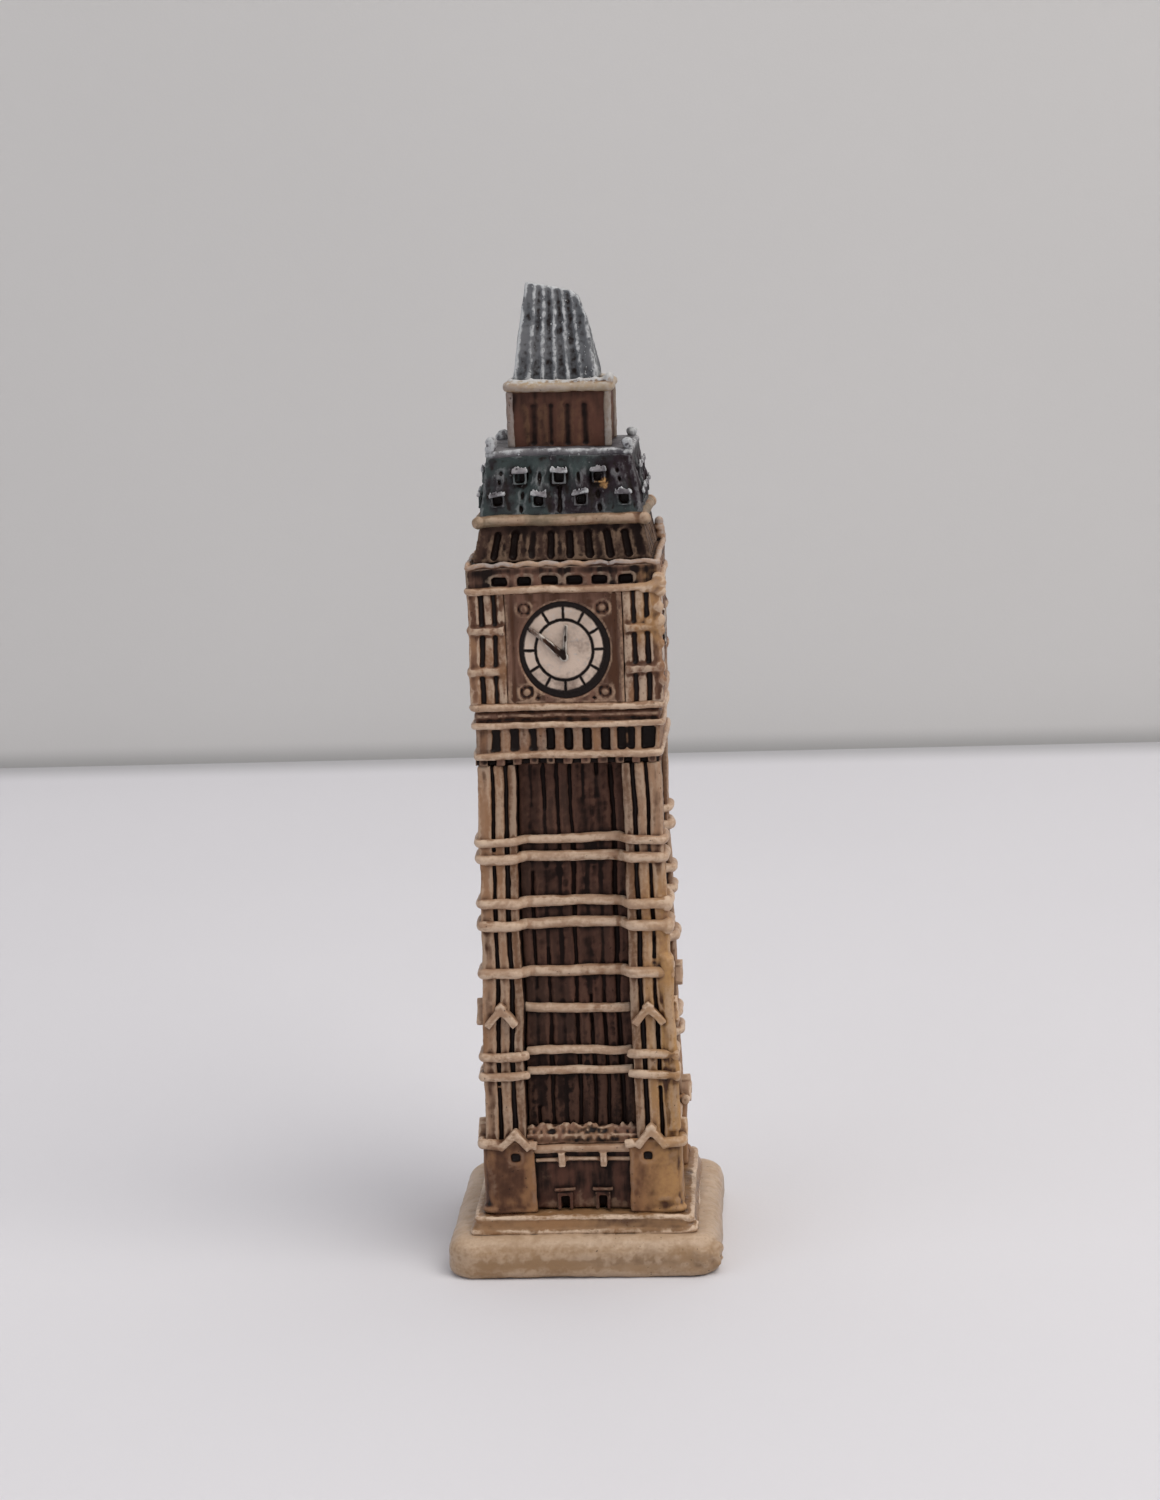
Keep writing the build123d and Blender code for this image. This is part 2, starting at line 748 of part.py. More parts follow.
with BuildPart() as roof:
    add(tapered_block(roof_foot, roof_height, roof_foot_width, roof_head_width))
    for angle in sides.values():
        with BuildSketch(face_plane(angle, roof_foot_width / 2, roof_foot)):
            with Locations(*[(x, 0) for x in upper_centres]):
                Rectangle(roof_groove_width, upper_foot, align=(Align.CENTER, Align.MIN))
            with Locations(*[(x, upper_foot) for x in lower_centres]):
                Rectangle(roof_groove_width, roof_height - upper_foot, align=(Align.CENTER, Align.MIN))
        extrude(amount=-roof_groove_depth - roof_lean, mode=Mode.SUBTRACT)
store(roof.part, "roof")

with BuildPart() as dormers:
    for angle in sides.values():
        for foot, centres in (lower_dormers, upper_dormers):
            share = foot / roof_height
            wall = roof_foot_width / 2 - roof_lean * share
            with BuildSketch(face_plane(angle, wall + dormer_projection, roof_foot + foot)):
                with Locations(*[(x, 0) for x in centres]):
                    Rectangle(dormer_width, dormer_height, align=(Align.CENTER, Align.MIN))
            extrude(amount=-dormer_projection - roof_lean)
            with BuildSketch(face_plane(angle, wall + dormer_projection, roof_foot + foot)):
                with Locations(*[(x, 0) for x in centres]):
                    Rectangle(dormer_window_width, dormer_window_height, align=(Align.CENTER, Align.MIN))
            extrude(amount=-dormer_window_depth, mode=Mode.SUBTRACT)
            cap_head = roof_foot + foot + dormer_height
            with BuildSketch(face_plane(angle, wall + dormer_cap_projection, cap_head)):
                with Locations(*[(x, 0) for x in centres]):
                    Rectangle(dormer_cap_width, dormer_cap_height, align=(Align.CENTER, Align.MAX))
            extrude(amount=-dormer_cap_projection - roof_lean)
    add(roof.part, mode=Mode.SUBTRACT)
store(dormers.part, "dormers")

roof_rail = plate(roof_rail_foot, roof_rail_width, roof_rail_height, rod_round)
store(roof_rail, "roof_rail")

with BuildPart() as roof_knobs:
    knob_reach = roof_rail_width / 2 - knob_inset
    with Locations((0, 0, lantern_foot + knob_radius - knob_sink)):
        with GridLocations(2 * knob_reach, 2 * knob_reach, 2, 2):
            Sphere(knob_radius)
    add(roof_rail, mode=Mode.SUBTRACT)
store(roof_knobs.part, "roof_knobs")

# ---------------------------------------------------------------- lantern and spire
with BuildPart() as lantern:
    with BuildSketch(level_plane(lantern_foot)):
        Polygon(*cross_outline(lantern_post_inner, lantern_face))
    extrude(amount=lantern_height)
    for angle in sides.values():
        with BuildSketch(face_plane(angle, lantern_face, lantern_foot)):
            with GridLocations(lantern_slot_pitch, 1, lantern_slots, 1):
                Rectangle(lantern_slot_width, lantern_slot_height, align=(Align.CENTER, Align.MIN))
        extrude(amount=-lantern_slot_depth, mode=Mode.SUBTRACT)
store(lantern.part, "lantern")

with BuildPart() as lantern_posts:
    for angle in corners.values():
        with BuildSketch(level_plane(lantern_foot, angle)):
            with Locations((lantern_post_inner, -lantern_post_face)):
                Rectangle(lantern_post_width, lantern_post_width, align=(Align.MIN, Align.MIN))
        extrude(amount=lantern_height)
store(lantern_posts.part, "lantern_posts")

lantern_cornice = plate(
    lantern_cornice_foot, lantern_cornice_width, lantern_cornice_height, lantern_cornice_round
)
store(lantern_cornice, "lantern_cornice")


def fluted_outline(width):
    """Square with a row of shallow V flutes along each side."""
    pitch = width / flutes
    side = []
    for index in range(flutes):
        side.append((-width / 2 + index * pitch, -width / 2))
        side.append((-width / 2 + (index + 0.5) * pitch, -width / 2 + flute_depth))
    points = []
    for turn in range(4):
        for x, y in side:
            for _ in range(turn):
                x, y = -y, x
            points.append((x, y))
    return points


with BuildPart() as spire_stub:
    spire_head_width = spire_foot_width - 2 * spire_lean_in * spire_height
    for level, width in ((0, spire_foot_width), (spire_height, spire_head_width)):
        with BuildSketch(level_plane(spire_foot + level)):
            Polygon(*fluted_outline(width))
    loft(ruled=True)
    with BuildSketch(face_plane(0, spire_foot_width, spire_foot)):
        above = [(spire_foot_width, break_points[-1][1]), (spire_foot_width, 2 * spire_height)]
        above.append((break_points[0][0], 2 * spire_height))
        Polygon(*break_points, *above)
    extrude(amount=-2 * spire_foot_width, mode=Mode.SUBTRACT)
store(spire_stub.part, "spire_stub")
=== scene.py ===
"""Miniature clock tower: a cast and hand-painted souvenir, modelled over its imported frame."""
import math
import random

import bpy
import numpy as np
from bpy.props import FloatProperty, FloatVectorProperty, IntProperty, PointerProperty
from mathutils import Matrix, Vector
from mathutils.bvhtree import BVHTree


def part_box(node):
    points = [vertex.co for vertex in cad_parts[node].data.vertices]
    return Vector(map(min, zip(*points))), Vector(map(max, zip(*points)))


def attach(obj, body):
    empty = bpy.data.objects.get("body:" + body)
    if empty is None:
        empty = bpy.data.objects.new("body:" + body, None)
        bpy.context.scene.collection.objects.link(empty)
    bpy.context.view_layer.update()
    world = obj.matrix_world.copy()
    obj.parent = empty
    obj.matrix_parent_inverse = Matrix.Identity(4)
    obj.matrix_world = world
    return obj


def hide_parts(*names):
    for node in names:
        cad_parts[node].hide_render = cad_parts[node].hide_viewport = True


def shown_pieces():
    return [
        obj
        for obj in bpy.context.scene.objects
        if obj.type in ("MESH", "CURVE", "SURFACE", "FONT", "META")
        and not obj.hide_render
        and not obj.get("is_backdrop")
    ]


bl_info = {
    "name": "Miniature clock tower",
    "version": (1, 0, 0),
    "blender": (4, 5, 0),
    "location": "View3D > Sidebar > Clock tower",
    "description": "Models and paints a small cast clock tower over its packed frame",
    "category": "Object",
}

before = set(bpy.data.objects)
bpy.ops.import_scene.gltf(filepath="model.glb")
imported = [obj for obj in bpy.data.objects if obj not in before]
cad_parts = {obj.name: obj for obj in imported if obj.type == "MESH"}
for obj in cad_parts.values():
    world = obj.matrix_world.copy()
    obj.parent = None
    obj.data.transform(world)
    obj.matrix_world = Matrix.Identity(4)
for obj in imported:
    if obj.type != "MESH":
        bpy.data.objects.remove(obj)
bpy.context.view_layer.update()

MM = 0.001
BODY = "root"
SIDES = {"front": 0, "right": 90, "back": 180, "left": 270}
CORNERS = {"front_right": 0, "back_right": 90, "back_left": 180, "front_left": 270}
dice = random.Random(1859)


def span(node):
    """Lowest and highest corner of a CAD node, in millimetres."""
    low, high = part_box(node)
    return Vector(low) / MM, Vector(high) / MM


def heights(node):
    """Foot and head of a CAD node, in millimetres."""
    low, high = span(node)
    return low.z, high.z


def reach(node):
    """Distance from the tower's axis to the node's outermost face, in millimetres."""
    low, high = span(node)
    return max(-low.x, high.x, -low.y, high.y)


def extent(node):
    """Foot, head and reach of a CAD node, in millimetres."""
    return (*heights(node), reach(node))


# ------------------------------------------------------------------ sizes and colours
def length(name, description, millimetres, **limits):
    """A length property with its name, description and default."""
    return FloatProperty(
        name=name, description=description, default=millimetres * MM, unit="LENGTH", **limits
    )


class TowerSizes(bpy.types.PropertyGroup):
    """Sizes that shape the hand-made surface, in metres."""

    voxel: length(
        "Grain of the casting", "Smallest detail that the fused casting keeps", 0.16, min=0.1 * MM
    )
    fine_voxel: length(
        "Grain of the fine work", "Smallest detail kept on the clock stage and the small mouldings", 0.13,
        min=0.1 * MM
    )
    sway: length("Sway", "How far straight lines wander, as hand-cut ones do", 0.42)
    sway_size: length("Sway size", "Length over which a line wanders", 6.5)
    pitting: length("Pitting", "Depth of the small lumps and pits in the cast surface", 0.1)
    pitting_size: length("Pitting size", "Width of the small lumps and pits", 0.9)
    dial_width: length("Dial half width", "Half the dial's width, rim included", 3.87)
    dial_height: length("Dial half height", "Half the dial's height, rim included", 4.1)
    rim_radius: length("Rim", "Inner radius of the dial's dark rim", 3.36)
    ring_radius: length("Inner ring", "Radius of the ring that the hour lines start from", 2.42)
    dial_lines: IntProperty(name="Hour lines", description="Lines round the dial", default=12, min=4)
    # Reach of the darkening at a joint between two members: wash together with painted shade.
    wash_and_shade_reach: length(
        "Wash reach", "How far the dark wash creeps out of a joint between two members", 0.45
    )


def colour(name, description, value):
    """A colour property with its name, description and default."""
    return FloatVectorProperty(
        name=name, description=description, subtype="COLOR", size=3, min=0, max=1, default=value
    )


class TowerColours(bpy.types.PropertyGroup):
    """Paints, as linear colours."""

    cream: colour("Cream", "Cream paint on the raised mouldings", (0.40, 0.262, 0.176))
    cream_light: colour("Light cream", "Dry-brushed edges of the mouldings", (0.66, 0.50, 0.37))
    tan: colour("Tan", "Paint on the piers", (0.275, 0.146, 0.078))
    ochre: colour("Ochre", "Warm paint on the right-hand corner", (0.42, 0.235, 0.095))
    # Brown and umber are the wash colours; they also carry the painted shade at joints, deep behind the
    # open face and low in the recesses.
    brown: colour("Brown", "Thin brown wash", (0.070, 0.029, 0.015))
    umber: colour("Umber", "Dark wash in the grooves", (0.010, 0.005, 0.004))
    recess: colour("Recess", "Grey brown of the ribs in the recesses", (0.050, 0.027, 0.020))
    plinth: colour("Plinth", "Pale yellow cream of the plinth", (0.285, 0.170, 0.086))
    silver: colour("Silver", "Warm silver of the dials", (0.60, 0.47, 0.385))
    rose: colour("Rose brown", "Pinkish brown of the dial frames and arcades", (0.175, 0.090, 0.062))
    slate: colour("Slate", "Green grey of the roof", (0.040, 0.053, 0.052))
    frost: colour("Frost", "Silver white brushed over the slate", (0.50, 0.51, 0.52))
    lantern: colour("Lantern", "Red brown of the lantern walls", (0.098, 0.043, 0.030))


# Open face of each piece, for the painted shade on what lies deeper behind it.
SUNK = {}


# ------------------------------------------------------------------ shaping
def mode(name):
    """Go into edit mode or back to object mode."""
    bpy.ops.object.mode_set(mode=name)


def settle():
    """Apply the new object's place, turn and size to its mesh, and give the object."""
    bpy.ops.object.transform_apply(location=True, rotation=True, scale=True)
    return bpy.context.object


def block(x, y, z):
    """Cube between two values on each axis, in millimetres."""
    middle = [(low + high) / 2 * MM for low, high in (x, y, z)]
    size = [(high - low) * MM for low, high in (x, y, z)]
    bpy.ops.mesh.primitive_cube_add(size=1, location=middle, scale=size)
    return settle()


def pad(half, z):
    """Square block round the tower's axis, in millimetres."""
    return block((-half, half), (-half, half), z)


def strip(x, half, y, z):
    """Block to either side of x, in millimetres."""
    return block((x - half, x + half), y, z)


def ball(place, radius, squash=(1, 1, 1)):
    """Small rounded lump at a place, in millimetres."""
    bpy.ops.mesh.primitive_ico_sphere_add(
        subdivisions=2, radius=radius * MM, location=[value * MM for value in place], scale=squash
    )
    return settle()


def disc(place, radius, depth, sides=32, oval=1.0):
    """Short cylinder that looks out of the front face, in millimetres; oval stretches it upwards."""
    bpy.ops.mesh.primitive_cylinder_add(
        vertices=sides,
        radius=radius * MM,
        depth=depth * MM,
        location=[value * MM for value in place],
        rotation=(math.pi / 2, 0, 0),
        scale=(1, oval, 1),
    )
    return settle()


def rod(points, radius, closed=False, wobble=0.04, step=0.8):
    """Hand-rolled rod along a path in millimetres: its line and thickness wander a little."""
    path = [Vector(point) for point in points]
    if closed:
        path.append(path[0])
    places = []
    for start, end in zip(path, path[1:]):
        pieces = max(1, round((end - start).length / step))
        for index in range(pieces):
            places.append(start.lerp(end, index / pieces))
    if not closed:
        places.append(path[-1])
    curve = bpy.data.curves.new("rod", "CURVE")
    curve.dimensions = "3D"
    curve.bevel_depth = radius * MM
    curve.bevel_resolution = 3
    curve.resolution_u = 3
    curve.use_fill_caps = not closed
    line = curve.splines.new("NURBS")
    line.points.add(len(places) - 1)
    line.use_cyclic_u = closed
    line.use_endpoint_u = not closed
    line.order_u = 3
    thick = 1.0
    shift = Vector()
    for point, place in zip(line.points, places):
        thick += (1 - thick) * 0.5 + dice.uniform(-1, 1) * wobble
        shift = shift * 0.6 + Vector([dice.uniform(-wobble, wobble) for _ in range(3)])
        point.co = (*((place + shift) * MM), 1)
        point.radius = thick
    held = bpy.data.objects.new("rod", curve)
    bpy.context.collection.objects.link(held)
    only(held)
    bpy.ops.object.convert(target="MESH")
    return bpy.context.object


def only(*chosen):
    """Select these objects and nothing else, the first one active."""
    bpy.ops.object.select_all(action="DESELECT")
    for item in chosen:
        item.select_set(True)
    bpy.context.view_layer.objects.active = chosen[0]


def copy_turned(item, angle):
    """Copy with its own mesh, turned about the tower's axis."""
    twin = item.copy()
    twin.data = item.data.copy()
    bpy.context.collection.objects.link(twin)
    twin.data.transform(Matrix.Rotation(math.radians(angle), 4, "Z"))
    return twin


def turn(items, angle):
    """The items themselves turned about the tower's axis."""
    turned = [copy_turned(item, angle) for item in items]
    for item in items:
        bpy.data.objects.remove(item)
    return turned


def move(item, place):
    """Move a mesh, in millimetres."""
    item.data.transform(Matrix.Translation([value * MM for value in place]))


def lean(item, angle):
    """Turn a mesh in the plane of the front face, by an angle in radians."""
    item.data.transform(Matrix.Rotation(angle, 4, "Y"))


def all_round(items):
    """The items of one side, and copies of them on the other three."""
    return [copy_turned(item, angle) for angle in (90, 180, 270) for item in items] + items


def ring(half, thick, z):
    """Hollow square wall round the axis, in millimetres."""
    return all_round([block((-half, half), (-half, -half + thick), z)])


def square(half, height):
    """Corners of a level square path round the axis, in millimetres."""
    return [(x * half, y * half, height) for x, y in ((-1, -1), (1, -1), (1, 1), (-1, 1))]


def path_round(side):
    """Path round all four sides, from the points of the front one."""
    spins = [Matrix.Rotation(math.radians(90 * quarter), 3, "Z") for quarter in range(4)]
    return [spin @ Vector(point) for spin in spins for point in side]


def upright(start, end):
    """Whether an edge stands upright."""
    return math.hypot(end.x - start.x, end.y - start.y) < 0.01


def round_edges(item, radius, chosen):
    """Round the edges that are chosen by their two ends, in millimetres."""
    kept = []
    for edge in item.data.edges:
        start, end = [item.data.vertices[index].co / MM for index in edge.vertices]
        if chosen(start, end):
            kept.append(edge.index)
    only(item)
    mode("EDIT")
    bpy.ops.mesh.select_mode(type="EDGE")
    bpy.ops.mesh.select_all(action="DESELECT")
    mode("OBJECT")
    for index in kept:
        item.data.edges[index].select = True
    mode("EDIT")
    bpy.ops.mesh.bevel(offset=radius * MM, segments=6, affect="EDGES")
    mode("OBJECT")


def taper(item, foot, head, scale):
    """Draw the mesh in towards the axis, from full size at the foot to scale at the head."""
    only(item)
    mode("EDIT")
    bpy.ops.mesh.select_all(action="DESELECT")
    mode("OBJECT")
    for vertex in item.data.vertices:
        vertex.select = vertex.co.z / MM > (foot + head) / 2
    mode("EDIT")
    bpy.ops.mesh.select_mode(type="VERT")
    bpy.ops.transform.resize(value=(scale, scale, 1), center_override=(0, 0, head * MM))
    mode("OBJECT")


def joined(parts):
    """The parts as one object."""
    only(*parts)
    if len(parts) > 1:
        bpy.ops.object.join()
    return bpy.context.object


def fused(parts, voxel):
    """The parts as one closed skin."""
    piece = joined(parts)
    skin = piece.modifiers.new("fuse", "REMESH")
    skin.mode = "VOXEL"
    skin.voxel_size = voxel
    bpy.ops.object.modifier_apply(modifier=skin.name)
    return piece


def cut(item, tools):
    """Cut the tools' shapes out of an item."""
    tool = joined(tools)
    knife = item.modifiers.new("cut", "BOOLEAN")
    knife.operation = "DIFFERENCE"
    knife.object = tool
    knife.solver = "EXACT"
    knife.use_self = True
    only(item)
    bpy.ops.object.modifier_apply(modifier=knife.name)
    bpy.data.objects.remove(tool)
    return item


def slice_off(item, place, normal):
    """Cut away what lies on the far side of a plane, and close the cut."""
    only(item)
    mode("EDIT")
    bpy.ops.mesh.select_all(action="SELECT")
    bpy.ops.mesh.bisect(
        plane_co=[value * MM for value in place], plane_no=normal, use_fill=True, clear_outer=True,
        threshold=1e-7
    )
    mode("OBJECT")


def clouds(name, size, kind):
    """Soft procedural noise for a displacement, made once."""
    texture = bpy.data.textures.get(name)
    if texture is None:
        texture = bpy.data.textures.new(name, "CLOUDS")
        texture.noise_scale = size
        texture.noise_depth = 2
        texture.cloud_type = kind
    return texture


def shift_by(item, texture, strength, direction):
    """Move the surface by a noise that all pieces share, so that neighbours move together."""
    push = item.modifiers.new("shift", "DISPLACE")
    push.texture = texture
    push.texture_coords = "LOCAL"
    push.direction = direction
    push.strength = strength
    push.mid_level = 0.5
    bpy.ops.object.modifier_apply(modifier=push.name)


def cast(parts, node, paint, voxel=None, soften=2, pitting=1.0, sway=1.0, sunk=None, name=None):
    """Fuse the parts as one casting, soften and wear it, and hand it to the frame as one piece.

    sunk is the half width of the piece's open face at its foot and head: what lies deeper gets painted
    shade.
    """
    sizes = bpy.context.scene.tower_sizes
    piece = fused(parts, voxel or sizes.fine_voxel)
    if soften:
        smooth = piece.modifiers.new("soften", "SMOOTH")
        smooth.factor = 0.5
        smooth.iterations = soften
        bpy.ops.object.modifier_apply(modifier=smooth.name)
    if sway:
        shift_by(piece, clouds("sway", sizes.sway_size, "COLOR"), sizes.sway * sway, "RGB_TO_XYZ")
    if pitting:
        lumps = clouds("pitting", sizes.pitting_size, "GRAYSCALE")
        shift_by(piece, lumps, sizes.pitting * pitting, "NORMAL")
    bpy.ops.object.shade_smooth()
    hand_over(piece, node, paint, name)
    if sunk:
        SUNK[piece.name] = (*heights(node), *sunk)


def hand_over(piece, node, paint, name=None):
    """Paint a finished piece and let it stand for its CAD node."""
    piece.name = f"{name or node}_cast"
    piece.data.name = piece.name
    piece.data.materials.clear()
    piece.data.materials.append(PAINTS[paint])
    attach(piece, BODY)
    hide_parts(node)


# ------------------------------------------------------------------ paint
class Socket:
    """A shader value that can be used in arithmetic."""

    def __init__(self, paint, link):
        self.paint = paint
        self.link = link

    def math(self, operation, *others):
        return self.paint.node("ShaderNodeMath", {"operation": operation}, dict(enumerate((self, *others))))

    def __add__(self, other):
        return self.math("ADD", other)

    def __sub__(self, other):
        return self.math("SUBTRACT", other)

    def __rsub__(self, other):
        return self.paint.node("ShaderNodeMath", {"operation": "SUBTRACT"}, {0: other, 1: self})

    def __mul__(self, other):
        return self.math("MULTIPLY", other)

    def __truediv__(self, other):
        return self.math("DIVIDE", other)

    __radd__ = __add__
    __rmul__ = __mul__

    def ramp(self, low, high):
        """0 below low and 1 above high, smooth in between; low may be the larger one."""
        values = {0: self, 1: low, 2: high, 3: 0.0, 4: 1.0}
        return self.paint.node("ShaderNodeMapRange", {"interpolation_type": "SMOOTHSTEP"}, values)


class Paint:
    """One material's node tree."""

    def __init__(self, name):
        self.material = bpy.data.materials.new(name)
        self.material.use_nodes = True
        self.tree = self.material.node_tree
        self.shader = self.tree.nodes["Principled BSDF"]
        self.shader.inputs["Specular IOR Level"].default_value = 0.35
        coordinates = self.tree.nodes.new("ShaderNodeTexCoord")
        self.place = Socket(self, coordinates.outputs["Object"])

    def node(self, kind, settings=None, values=None, output=0):
        """Add a node, set it up, fill or link its sockets, and give one output."""
        made = self.tree.nodes.new(kind)
        for key, value in (settings or {}).items():
            setattr(made, key, value)
        for key, value in (values or {}).items():
            if isinstance(value, Socket):
                self.tree.links.new(value.link, made.inputs[key])
            elif value is not None:
                made.inputs[key].default_value = value
        return Socket(self, made.outputs[output])

    def noise(self, size, detail=2.0, stretch=(1, 1, 1), shift=0.0):
        """Noise with features of about size metres; stretch lengthens them along an axis."""
        scale = [1 / (size * part) for part in stretch]
        moved = self.node(
            "ShaderNodeMapping", None, {"Vector": self.place, "Scale": scale, "Location": (shift,) * 3}
        )
        values = {"Vector": moved, "Scale": 1.0, "Detail": detail, "Roughness": 0.5}
        return self.node("ShaderNodeTexNoise", None, values)

    def mix(self, share, first, second):
        """Blend two colours."""
        settings = {"data_type": "RGBA", "clamp_factor": True}
        values = {0: share, 6: self.rgba(first), 7: self.rgba(second)}
        return self.node("ShaderNodeMix", settings, values, 2)

    @staticmethod
    def rgba(value):
        return value if isinstance(value, Socket) else (*value, 1.0)

    def own(self, name):
        """A number stored on the piece's own points."""
        return self.node("ShaderNodeAttribute", {"attribute_name": name}, None, 2)

    def axis(self, index):
        """One of the piece's own coordinates, in millimetres."""
        apart = self.node("ShaderNodeSeparateXYZ", None, {0: self.place}, index)
        return apart * (1 / MM)

    def finish(self, colour_value, roughness, height, depth):
        """Connect the colour, the roughness and a relief of the given depth in metres."""
        tree = self.tree
        tree.links.new(colour_value.link, self.shader.inputs["Base Color"])
        tree.links.new(roughness.link, self.shader.inputs["Roughness"])
        relief = self.node("ShaderNodeBump", None, {"Strength": 1.0, "Distance": depth, "Height": height})
        tree.links.new(relief.link, self.shader.inputs["Normal"])
        return self.material


def brushed(name, base, second, edge, wash, wash_from=0.56, wash_to=0.74, edging=0.6, ochre=0.0,
            stain=0.5, gloss=0.55, streak=(1, 1, 6), sheen=0.3, shade=0.0,
            low_painted_shade=0.0, top_highlight=None):
    """Acrylic over the casting: a mottled base, a dark wash in the hollows together with painted shade
    where members meet and deep behind the face, dry-brushed edges, and optionally painted shade low down
    and a painted highlight along a band of heights.
    """
    tint = bpy.context.scene.tower_colours
    paint = Paint(name)
    paint.shader.inputs["Specular IOR Level"].default_value = sheen
    patches = paint.noise(5 * MM, 3.0, (1, 1, 1.6))
    streaks = paint.noise(0.7 * MM, 3.0, streak, shift=3.1)
    grain = paint.noise(0.35 * MM, 3.0, shift=7.7)
    # The wash attribute: wash in hollows, plus painted shade at joints and deep behind the open face.
    hollow = paint.own("wash")
    tone = paint.mix((patches * 0.7 + streaks * 0.5).ramp(0.45, 0.8), base, second)
    # Painted shade: darker towards the foot, fully below 17 mm.
    if low_painted_shade:
        tone = paint.mix(paint.axis(2).ramp(23.0, 17.0) * low_painted_shade, tone, wash)
    if shade:
        inward = paint.axis(0).math("ABSOLUTE").math("MINIMUM", paint.axis(1).math("ABSOLUTE"))
        tone = paint.mix((inward + (grain - 0.5) * 1.5).ramp(6.3, 4.9) * shade, tone, wash)
    if ochre:
        height = paint.axis(2)
        right = paint.axis(0).ramp(4.6, 7.4) * (0 - paint.axis(1)).ramp(-6.0, 4.0)
        level = height.ramp(38.0, 31.0) + height.ramp(53.0, 56.0) * height.ramp(62.0, 60.5)
        warm = right * level * (patches + grain * 0.5).ramp(0.45, 0.85) * ochre
        tone = paint.mix(warm, tone, tint.ochre)
    thin = (hollow + (patches - 0.5) * 0.5 + (streaks - 0.5) * 0.35).ramp(wash_from - 0.12, wash_to)
    stained = (patches * 0.6 + streaks * 0.6).ramp(0.56, 0.78) * stain
    tone = paint.mix(stained * 0.6 + thin * 0.75, tone, wash)
    dark = (hollow + (grain - 0.5) * 0.25 + (streaks - 0.5) * 0.2).ramp(wash_from + 0.06, wash_to + 0.12)
    tone = paint.mix(dark, tone, tint.umber)
    ridge = (hollow + (grain - 0.5) * 0.2).ramp(0.46, 0.34) * (streaks + grain * 0.5).ramp(0.55, 0.9)
    tone = paint.mix(ridge * edging, tone, edge)
    # Painted highlight: the edge colour from a given height upwards.
    if top_highlight:
        low, high, share = top_highlight
        tone = paint.mix((paint.axis(2) + grain * 1.2 - 0.6).ramp(low, high) * share, tone, edge)
    specks = paint.noise(0.25 * MM, 1.0, shift=12.3).ramp(0.70, 0.80) * patches.ramp(0.42, 0.6)
    tone = paint.mix(specks * 0.75, tone, tint.umber)
    rough = gloss + (grain - 0.5) * 0.3 + thin * -0.08
    height = grain * 0.7 + streaks * 0.7
    return paint.finish(tone, rough, height, 0.05 * MM)


def slated(name, base, second, edging, fleck=False):
    """Slate blue over purple black, brushed with silver white; one gold fleck beside a dormer."""
    tint = bpy.context.scene.tower_colours
    paint = Paint(name)
    patches = paint.noise(2.6 * MM, 3.0)
    streaks = paint.noise(0.5 * MM, 3.0, (1, 1, 5), shift=3.1)
    grain = paint.noise(0.3 * MM, 3.0, shift=7.7)
    # The wash attribute: wash in hollows, plus painted shade at joints and deep behind the open face, as in
    # the dormer windows.
    hollow = paint.own("wash")
    paint.shader.inputs["Specular IOR Level"].default_value = 0.18
    drift = paint.axis(0) * 0.012
    tone = paint.mix((patches * 0.8 + streaks * 0.3 + drift).ramp(0.42, 0.68), base, second)
    dark = (hollow + (patches - 0.5) * 0.3 + (grain - 0.5) * 0.25).ramp(0.52, 0.72)
    tone = paint.mix(dark, tone, tint.umber)
    ridge = (hollow + (grain - 0.5) * 0.35).ramp(0.47, 0.30) * (streaks + grain * 0.6).ramp(0.62, 0.9)
    tone = paint.mix(ridge * edging, tone, tint.frost)
    dabs = (grain + streaks * 0.6).ramp(0.98, 1.1) * edging
    tone = paint.mix(dabs, tone, tint.frost)
    if fleck:
        away = paint.node("ShaderNodeVectorMath", {"operation": "DISTANCE"},
                          {0: paint.place, 1: (3.5 * MM, -6.9 * MM, 68.1 * MM)}, 1)
        gold = (away + (grain - 0.5) * 0.6 * MM).ramp(0.75 * MM, 0.55 * MM)
        tone = paint.mix(gold * (streaks + grain).ramp(0.75, 1.05), tone, tint.ochre)
    rough = 0.5 + (grain - 0.5) * 0.3
    return paint.finish(tone, rough, grain * 0.7 + streaks * 0.7, 0.06 * MM)


